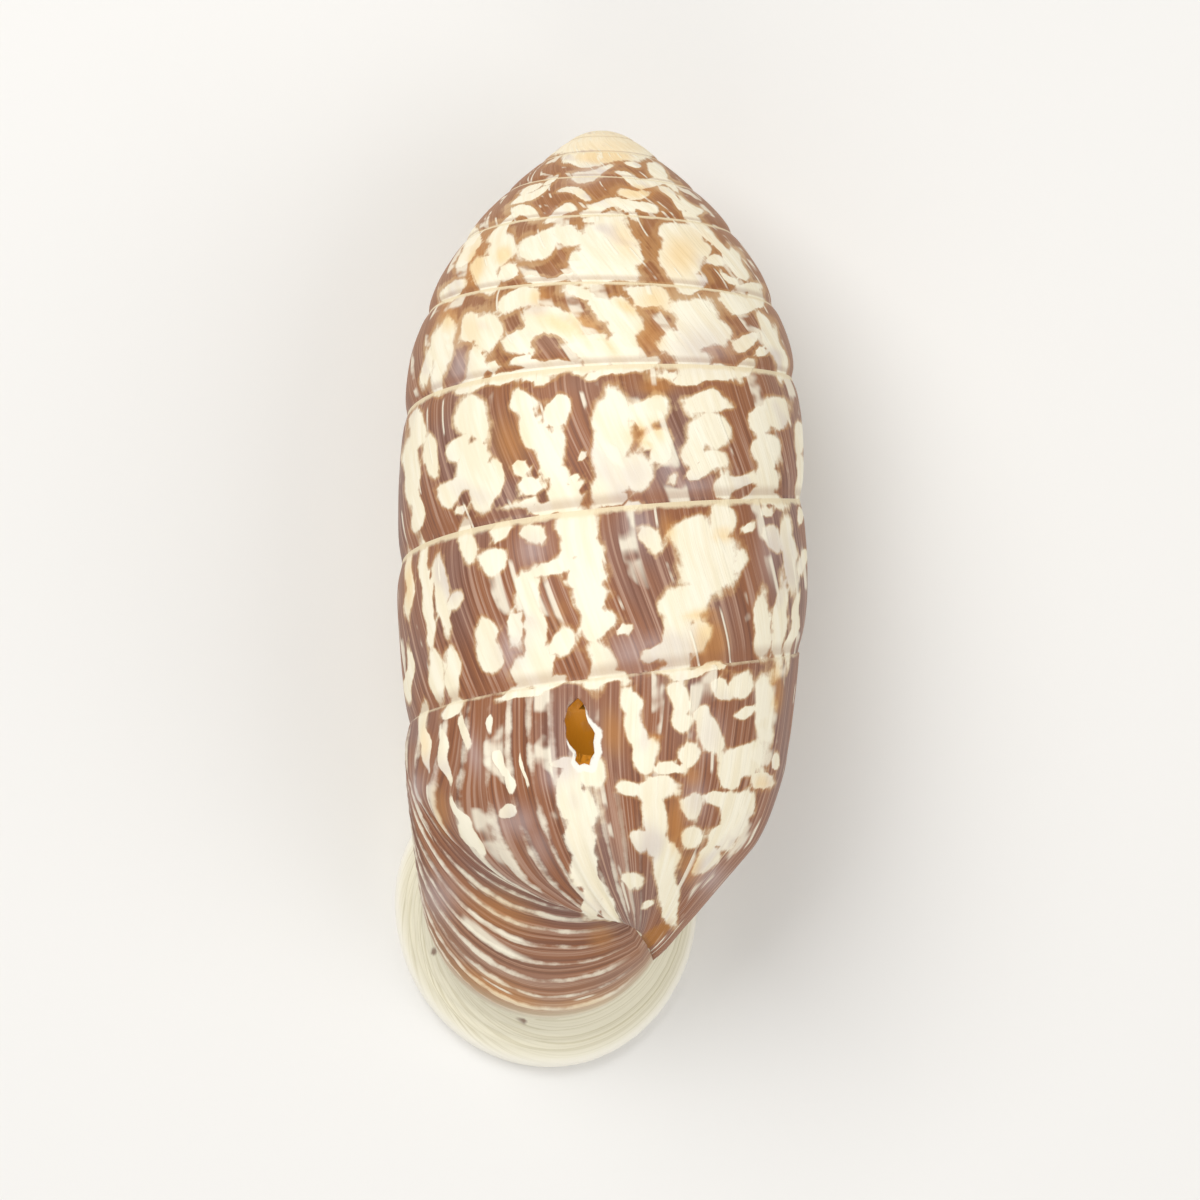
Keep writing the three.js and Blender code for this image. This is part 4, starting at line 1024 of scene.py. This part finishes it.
def marking_fields(tree):
    """All that the markings are worked out from: where a place grew, streaks that follow
    growth, the fields stored on the shell and the tinges that several markings share."""
    growth = node(tree, "ShaderNodeUVMap", uv_map="Growth")
    turn, share, _ = node(tree, "ShaderNodeSeparateXYZ", growth).outputs
    at = SimpleNamespace(turn=turn, share=share)
    for name in MARK_FIELDS:
        setattr(at, name, node(tree, "ShaderNodeAttribute", attribute_name=name))
    for n, (name, (around, down, detail, roughness)) in enumerate(STREAKS.items()):
        drawn = node(tree, VECTOR, growth, (around, down, 0), (0, 0, 7.0 * n), operation="MULTIPLY_ADD")
        setattr(at, name, node(tree, NOISE, {
            "Vector": drawn, "Scale": 1.0, "Detail": detail, "Roughness": roughness}))
    place_at = node(tree, "ShaderNodeTexCoord").outputs["Object"]
    in_mm = node(tree, VECTOR, {0: place_at, "Scale": 1000.0}, operation="SCALE")
    at.ragged = node(tree, NOISE, {"Vector": in_mm, "Scale": 2.6, "Detail": 3.0, "Roughness": 0.6})

    along = node(tree, "ShaderNodeSeparateXYZ", in_mm).outputs["Y"]
    at.golden = node(tree, RANGE, along, 4.0, 11.0, 0.0, 0.6, interpolation_type=STEP)
    at.warmth = node(tree, RANGE, at.hue, 0.36, 0.54, 0.0, 1.0, interpolation_type=STEP)
    at.tanned = node(tree, RANGE, at.tan, 0.15, 0.9, 0.0, 0.65, interpolation_type=STEP)
    at.cloudy = node(tree, RANGE, at.haze, 0.56, 0.72, 0.0, 0.5, interpolation_type=STEP)
    return at


def lightness(tree, at):
    """How light each place is: laid out for the back, by growth elsewhere, and ragged."""
    column = node(tree, MATH, at.column, 0.75, operation="MULTIPLY")
    grown = node(tree, MATH, at.lump, 0.65, column, operation="MULTIPLY_ADD")
    grown = node(tree, RANGE, grown, 0.5, 0.92, 0.0, 1.0, interpolation_type=STEP)
    level = node(tree, MIX, {0: at.seen, 2: grown, 3: at.light}, data_type="FLOAT")
    for field, weight in ((at.ragged, 0.34), (at.streak, 0.4), (at.fine, 0.14)):
        level = node(tree, MATH, field, weight, level, operation="MULTIPLY_ADD")
        level = node(tree, MATH, level, weight / 2, operation="SUBTRACT")
    return node(tree, MATH, at.tan, 0.12, level, operation="MULTIPLY_ADD")


def brown_ground(tree, props, at):
    """Warm and purplish brown by turns, with fine lighter and darker lines, golden towards
    the apex and worn pale on the neck."""
    brown = node(tree, MIX, {0: at.warmth, 6: props.purple_brown, 7: props.warm_brown}, data_type="RGBA")
    lighter = node(tree, RANGE, at.fine, 0.5, 0.66, 0.0, 0.75, interpolation_type=STEP)
    brown = node(tree, MIX, {0: lighter, 6: brown, 7: props.streak_light}, data_type="RGBA")
    darker = node(tree, RANGE, at.fine, 0.36, 0.49, 0.7, 0.0, interpolation_type=STEP)
    brown = node(tree, MIX, {0: darker, 6: brown, 7: props.streak_dark}, data_type="RGBA")
    brown = node(tree, MIX, {0: at.golden, 6: brown, 7: props.golden_brown}, data_type="RGBA")
    worn = node(tree, RANGE, at.turn, 0.4, 0.68, 0.0, 0.45, interpolation_type=STEP)
    brown = node(tree, MIX, {0: worn, 6: brown, 7: props.tan}, data_type="RGBA")
    return node(tree, MIX, {0: at.tanned, 6: brown, 7: props.ochre}, data_type="RGBA")


def blotched(tree, props, at, brown, level, within):
    """The brown ground under cream or lilac-grey blotches with tan to ochre edges."""
    creamy = node(tree, RANGE, at.streak, 0.35, 0.65, 0.0, 0.6, interpolation_type=STEP)
    light = node(tree, MIX, {0: creamy, 6: props.cream, 7: props.deep_cream}, data_type="RGBA")
    light = node(tree, MIX, {0: at.cloudy, 6: light, 7: props.lilac}, data_type="RGBA")
    edge = node(tree, MIX, {0: at.warmth, 6: props.tan, 7: props.ochre}, data_type="RGBA")
    edge_level = node(tree, MATH, at.golden, 0.25, level, operation="MULTIPLY_ADD")
    at_edge = node(tree, RANGE, edge_level, 0.28, 0.44, 0.0, 0.6, interpolation_type=STEP)
    shade = node(tree, MIX, {0: at_edge, 6: brown, 7: edge}, data_type="RGBA")
    return node(tree, MIX, {0: within, 6: shade, 7: light}, data_type="RGBA")


def ribbed(tree, props, at, shade, brown, level):
    """Pale crests with brown between on the last half whorl, under the large blotches."""
    since = node(tree, MATH, at.turn, RIB_START, operation="SUBTRACT")
    angle = node(tree, MATH, since, TAU / RIB_PITCH, operation="MULTIPLY")
    cosine = node(tree, MATH, angle, operation="COSINE")
    wave = node(tree, MATH, cosine, -0.42, operation="MULTIPLY")
    for field, weight in ((at.streak, 0.8), (at.lump, 1.4), (at.ragged, 0.6)):
        wave = node(tree, MATH, field, weight, wave, operation="MULTIPLY_ADD")
    crested = node(tree, RANGE, wave, 1.52, 1.95, 0.0, 0.85, interpolation_type=STEP)
    crest = node(tree, MIX, {0: at.cloudy, 6: props.cream, 7: props.lilac}, data_type="RGBA")
    striped = node(tree, MIX, {0: crested, 6: brown, 7: crest}, data_type="RGBA")
    bare = node(tree, RANGE, level, 0.45, 0.6, 0.92, 0.0, interpolation_type=STEP)
    under = node(tree, MATH, at.ribbed, bare, operation="MULTIPLY")
    return node(tree, MIX, {0: under, 6: shade, 7: striped}, data_type="RGBA")


def tinged(tree, props, at, shade):
    """Places tinged ochre or milky lilac."""
    tinge = {0: at.tanned, 6: shade, 7: props.gold}
    shade = node(tree, MIX, tinge, data_type="RGBA", blend_type="MULTIPLY")
    milky = node(tree, MATH, at.lilac, 0.5, operation="MULTIPLY")
    return node(tree, MIX, {0: milky, 6: shade, 7: props.lilac}, data_type="RGBA")


def cream_threads(tree, at):
    """Where thin broken threads run along growth."""
    off_line = node(tree, MATH, at.thread, 0.5, operation="SUBTRACT")
    off_line = node(tree, MATH, off_line, operation="ABSOLUTE")
    threaded = node(tree, RANGE, off_line, 0.008, 0.02, 0.75, 0.0, interpolation_type=STEP)
    broken = node(tree, RANGE, at.lump, 0.5, 0.58, 0.0, 1.0, interpolation_type=STEP)
    return node(tree, MATH, threaded, broken, operation="MULTIPLY")


def sutured(tree, props, at, shade):
    """A cream thread below each suture, and above it a brown line of painted shade where the whorl curves
    in to the suture.
    """
    # Painted shade: a brown line along the foot of each whorl, just above the suture's crease.
    crease_shade_up = node(tree, RANGE, at.share, 0.88, 0.95, 0.0, 0.35, interpolation_type=STEP)
    crease_shade_down = node(tree, RANGE, at.share, 0.965, 0.985, 1.0, 0.0, interpolation_type=STEP)
    line = node(tree, MATH, crease_shade_up, crease_shade_down, operation="MULTIPLY")
    shade = node(tree, MIX, {0: line, 6: shade, 7: props.warm_brown}, data_type="RGBA")
    at_top = node(tree, MATH, at.share, operation="ABSOLUTE")
    at_top = node(tree, MATH, at.ragged, 0.05, at_top, operation="MULTIPLY_ADD")
    suture = node(tree, RANGE, at_top, 0.045, 0.075, 0.85, 0.0, interpolation_type=STEP)
    return node(tree, MIX, {0: suture, 6: shade, 7: props.suture_cream}, data_type="RGBA")


def lipped(tree, props, at, shade):
    """The cream lip with faint greenish growth lines, two specks and a pale rim."""
    ringed = node(tree, RANGE, at.rim, 0.45, 0.7, 0.0, 0.6, interpolation_type=STEP)
    lip_shade = node(tree, MIX, {0: ringed, 6: props.lip_cream, 7: props.lip_shadow}, data_type="RGBA")
    rim = node(tree, MATH, at.lip, 1.0, operation="SUBTRACT", use_clamp=True)
    lip_shade = node(tree, MIX, {0: rim, 6: lip_shade, 7: props.rim_white}, data_type="RGBA")
    shade = node(tree, MIX, {0: at.lip, 6: shade, 7: lip_shade}, data_type="RGBA")
    specked = node(tree, RANGE, at.speck, 0.3, 0.7, 0.0, 0.85, interpolation_type=STEP)
    return node(tree, MIX, {0: specked, 6: shade, 7: props.streak_dark}, data_type="RGBA")


def broken_open(tree, props, at, shade):
    """The glazed ochre inside, also painted into the umbilicus slit as partly painted shade, and the
    chalky break round the hole.
    """
    shade = node(tree, MIX, {0: at.inside, 6: shade, 7: props.inner_ochre}, data_type="RGBA")
    broken_at = node(tree, MATH, at.ragged, 0.16, at.hole, operation="MULTIPLY_ADD")
    chalky = node(tree, RANGE, broken_at, 0.11, 0.17, 1.0, 0.0, interpolation_type=STEP)
    return node(tree, MIX, {0: chalky, 6: shade, 7: props.chalk}, data_type="RGBA")


def shell_aragonite(props):
    """Snail-shell aragonite under a worn horny skin: satin, brown between chalk-cream
    blotches that follow the growth lines."""
    material = bpy.data.materials.new("Shell aragonite, weathered")
    material.use_nodes = True
    tree = material.node_tree
    tree.nodes.clear()
    at = marking_fields(tree)
    level = lightness(tree, at)
    within = node(tree, RANGE, level, 0.38, 0.55, 0.0, 1.0, interpolation_type=STEP)
    brown = brown_ground(tree, props, at)
    shade = blotched(tree, props, at, brown, level, within)
    shade = ribbed(tree, props, at, shade, brown, level)
    shade = tinged(tree, props, at, shade)
    threaded = cream_threads(tree, at)
    shade = node(tree, MIX, {0: threaded, 6: shade, 7: props.cream}, data_type="RGBA")
    shade = sutured(tree, props, at, shade)
    shade = lipped(tree, props, at, shade)
    shade = broken_open(tree, props, at, shade)

    # The inside under the hole is given a painted glow, emission that stands in for light through the thin
    # wall.
    # Blotches and threads stand a little proud of the brown.
    glow = node(tree, MATH, at.glow, 0.5, operation="MULTIPLY")
    roughness = node(tree, RANGE, level, 0.3, 0.6, 0.48, 0.56)
    grain = node(tree, MATH, at.fine, 0.035, operation="MULTIPLY")
    grain = node(tree, MATH, threaded, 0.03, grain, operation="MULTIPLY_ADD")
    grain = node(tree, MATH, within, 0.025, grain, operation="MULTIPLY_ADD")
    bump = node(tree, "ShaderNodeBump", {"Strength": 0.6, "Distance": 0.001, "Height": grain})
    surface = node(tree, "ShaderNodeBsdfPrincipled", {
        "Base Color": shade, "Roughness": roughness, "IOR": 1.53, "Specular IOR Level": 0.3,
        "Normal": bump, "Emission Color": props.inner_ochre, "Emission Strength": glow})
    node(tree, "ShaderNodeOutputMaterial", surface)
    return material


def plain_material(name, shade, roughness):
    """One even colour, such as that of uncoated paper, which has no gloss to show lamps in."""
    material = bpy.data.materials.new(name)
    material.use_nodes = True
    surface = material.node_tree.nodes["Principled BSDF"]
    surface.inputs["Base Color"].default_value = shade
    surface.inputs["Roughness"].default_value = roughness
    return material


def shade_property(name, about, text):
    """A colour that the sidebar can change, from its sRGB hex value."""
    return bpy.props.FloatVectorProperty(
        name=name, description=about, subtype="COLOR", size=4, min=0, max=1, default=colour(text))


class ShellProps(bpy.types.PropertyGroup):
    """Sizes and colours of the shell."""

    steps_to_a_turn: bpy.props.IntProperty(
        name="Steps to a Turn", description="How finely the whorls are divided",
        default=200, min=32, max=240)
    rows_to_a_whorl: bpy.props.IntProperty(
        name="Rows to a Whorl", description="Rows of faces between two sutures", default=22, min=4, max=32)
    whorl_bulge: bpy.props.FloatProperty(
        name="Whorl Bulge", description="How far a whorl swells between its sutures",
        default=WHORL_BULGE * MM, unit="LENGTH", precision=5)
    umbilicus_shift: bpy.props.FloatProperty(
        name="Umbilicus Shift", description="How far beside the axis the growth lines meet",
        default=1.1 * MM, unit="LENGTH", precision=5)
    rib_height: bpy.props.FloatProperty(
        name="Rib Height", description="How far the ribs of the last half whorl stand up",
        default=0.09 * MM, unit="LENGTH", precision=5)
    unevenness: bpy.props.FloatProperty(
        name="Unevenness", description="Height of the fine lumps of the surface",
        default=0.03 * MM, unit="LENGTH", precision=5)
    seed: bpy.props.IntProperty(name="Seed", description="Picks the ribs' small differences", default=4)
    cream: shade_property("Cream", "The blotches", "fbf3dc")
    deep_cream: shade_property("Deep Cream", "Streaks in the blotches", "f0e2bf")
    lilac: shade_property("Lilac Grey", "Translucent light places", "cdbdbb")
    tan: shade_property("Tan", "Edges of the blotches", "e3c294")
    gold: shade_property("Gold", "Tinge of the ochre places", "fbdca6")
    ochre: shade_property("Ochre", "Orange-brown edges and streaks", "c2915c")
    # Also the colour of the painted shade line above each suture.
    warm_brown: shade_property("Warm Brown", "Bands between the blotches", "96603f")
    golden_brown: shade_property("Golden Brown", "Brown ground of the upper whorls", "a8713f")
    purple_brown: shade_property("Purple Brown", "Darker, cooler bands", "8a6557")
    streak_light: shade_property("Light Streak", "Fine light lines in the brown", "bb9680")
    streak_dark: shade_property("Dark Streak", "Fine dark lines in the brown", "714735")
    suture_cream: shade_property("Suture Cream", "The thread along each suture", "eddcb6")
    lip_cream: shade_property("Lip Cream", "The lip", "e6dfc7")
    lip_shadow: shade_property("Lip Shadow", "Growth lines of the lip's back", "bdb28d")
    rim_white: shade_property("Rim White", "The thick rim of the lip", "f7f2e4")
    # Also the colour of the painted glow under the hole.
    inner_ochre: shade_property("Inner Ochre", "The glazed inside", "b3741c")
    chalk: shade_property("Chalk", "The fresh break round the hole", "f4efe2")


class StageProps(bpy.types.PropertyGroup):
    """The table and the light."""

    floor_shade: shade_property("Floor", "The pale table top", "e9e7e3")
    light_power: bpy.props.FloatProperty(
        name="Light Power", description="Power of the main soft lamp",
        default=0.23, unit="POWER", precision=4)
    sky_strength: bpy.props.FloatProperty(
        name="Sky Strength", description="Strength of the white light from all round",
        default=0.42, min=0)


class SHELL_OT_build(bpy.types.Operator):
    """Builds the shell: spire, last whorl, lip, lumen, ribs, hole and markings"""

    bl_idname = "shell.build"
    bl_label = "Build the Shell"

    def execute(self, context):
        props = context.scene.cerion_shell
        shift = props.umbilicus_shift / MM
        marks = {name: bpy.data.materials.new(name) for name in (
            "spire", "last whorl", "clearance", "chamber", "hole", "chink", "tooth", "fold", "table")}
        made = spire(props, marks["spire"])

        def marked(piece):
            piece.data.materials.append(marks[piece.name])
            return piece

        tube, ring_points, grown = last_whorl(shift)
        join_or_cut(made, marked(clearance(shift)), "DIFFERENCE")
        join_or_cut(made, marked(tube), "UNION")
        join_or_cut(made, marked(chamber(shift)), "DIFFERENCE")
        join_or_cut(made, marked(tooth("tooth", *TOOTH)), "UNION")
        join_or_cut(made, marked(tooth("fold", *FOLD)), "UNION")
        join_or_cut(made, marked(tooth("chink", *CHINK)), "DIFFERENCE")
        outline = [(HOLE_X + x, -HOLE_DEPTH - d) for x, d in HOLE_OUTLINE]
        join_or_cut(made, marked(prism("hole", outline, HOLE_FLOOR, HOLE_TOP)), "DIFFERENCE")
        join_or_cut(made, marked(under_table()), "DIFFERENCE")
        note_markings(made, note_growth(made, ring_points, grown, shift))
        made.data.materials.clear()
        ribs = made.modifiers.new("Growth ribs", "NODES")
        ribs.node_group = rib_tree()
        set_inputs(ribs, {
            "First Rib": RIB_START, "Rib Pitch": RIB_PITCH, "Rib Height": props.rib_height,
            "Unevenness": props.unevenness, "Seed": props.seed, "Finish": shell_aragonite(props)})
        plain_mesh(made)
        made.data.polygons.foreach_set("use_smooth", [True] * len(made.data.polygons))
        made.name = "cerion_shell"
        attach(made, "root")
        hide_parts("shell")
        return {"FINISHED"}


class SHELL_OT_stage(bpy.types.Operator):
    """Sets up the table top, the soft lights and the camera over the shell"""

    bl_idname = "shell.stage"
    bl_label = "Set the Stage"

    def execute(self, context):
        props = context.scene.cerion_stage
        scene = context.scene
        scene.view_settings.view_transform = "Standard"
        bpy.ops.mesh.primitive_plane_add(size=TABLE_WIDTH, location=(0, 0, 0))
        floor = context.object
        floor.name = "table_top"
        floor.data.materials.append(plain_material("Matt paper", props.floor_shade, 0.9))
        for name, place_at, size, share in LAMPS:
            lamp = bpy.data.lights.new(name, "AREA")
            lamp.size = size
            lamp.energy = props.light_power * share
            held = bpy.data.objects.new(name, lamp)
            held.location = place_at
            aim = Vector(LAMPS_AIM) - Vector(place_at)
            held.rotation_euler = aim.to_track_quat("-Z", "Y").to_euler()
            scene.collection.objects.link(held)
        world = bpy.data.worlds.new("Studio")
        world.use_nodes = True
        sky = world.node_tree.nodes["Background"].inputs
        sky["Color"].default_value = (1, 1, 1, 1)
        sky["Strength"].default_value = props.sky_strength
        scene.world = world
        eye = bpy.data.cameras.new("camera")
        eye.lens = LENS
        eye.sensor_width = SENSOR
        eye.clip_start = 0.001
        camera = bpy.data.objects.new("camera", eye)
        camera.location = (CAMERA_X * MM, CAMERA_Y * MM, CAMERA_HEIGHT * MM)
        scene.collection.objects.link(camera)
        scene.camera = camera
        return {"FINISHED"}


class SHELL_PT_panel(bpy.types.Panel):
    """The shell's sizes, colours and steps"""

    bl_idname = "SHELL_PT_panel"
    bl_label = "Cerion Shell"
    bl_space_type = "VIEW_3D"
    bl_region_type = "UI"
    bl_category = "Shell"

    def draw(self, context):
        for group, operator in (("cerion_shell", "shell.build"), ("cerion_stage", "shell.stage")):
            props = getattr(context.scene, group)
            for name in props.__annotations__:
                self.layout.prop(props, name)
            self.layout.operator(operator)


CLASSES = (ShellProps, StageProps, SHELL_OT_build, SHELL_OT_stage, SHELL_PT_panel)


def register():
    for made in CLASSES:
        bpy.utils.register_class(made)
    bpy.types.Scene.cerion_shell = bpy.props.PointerProperty(type=ShellProps)
    bpy.types.Scene.cerion_stage = bpy.props.PointerProperty(type=StageProps)


def unregister():
    del bpy.types.Scene.cerion_stage
    del bpy.types.Scene.cerion_shell
    for made in reversed(CLASSES):
        bpy.utils.unregister_class(made)


def main():
    register()
    bpy.ops.shell.build()
    bpy.ops.shell.stage()


if __name__ == "__main__":
    main()
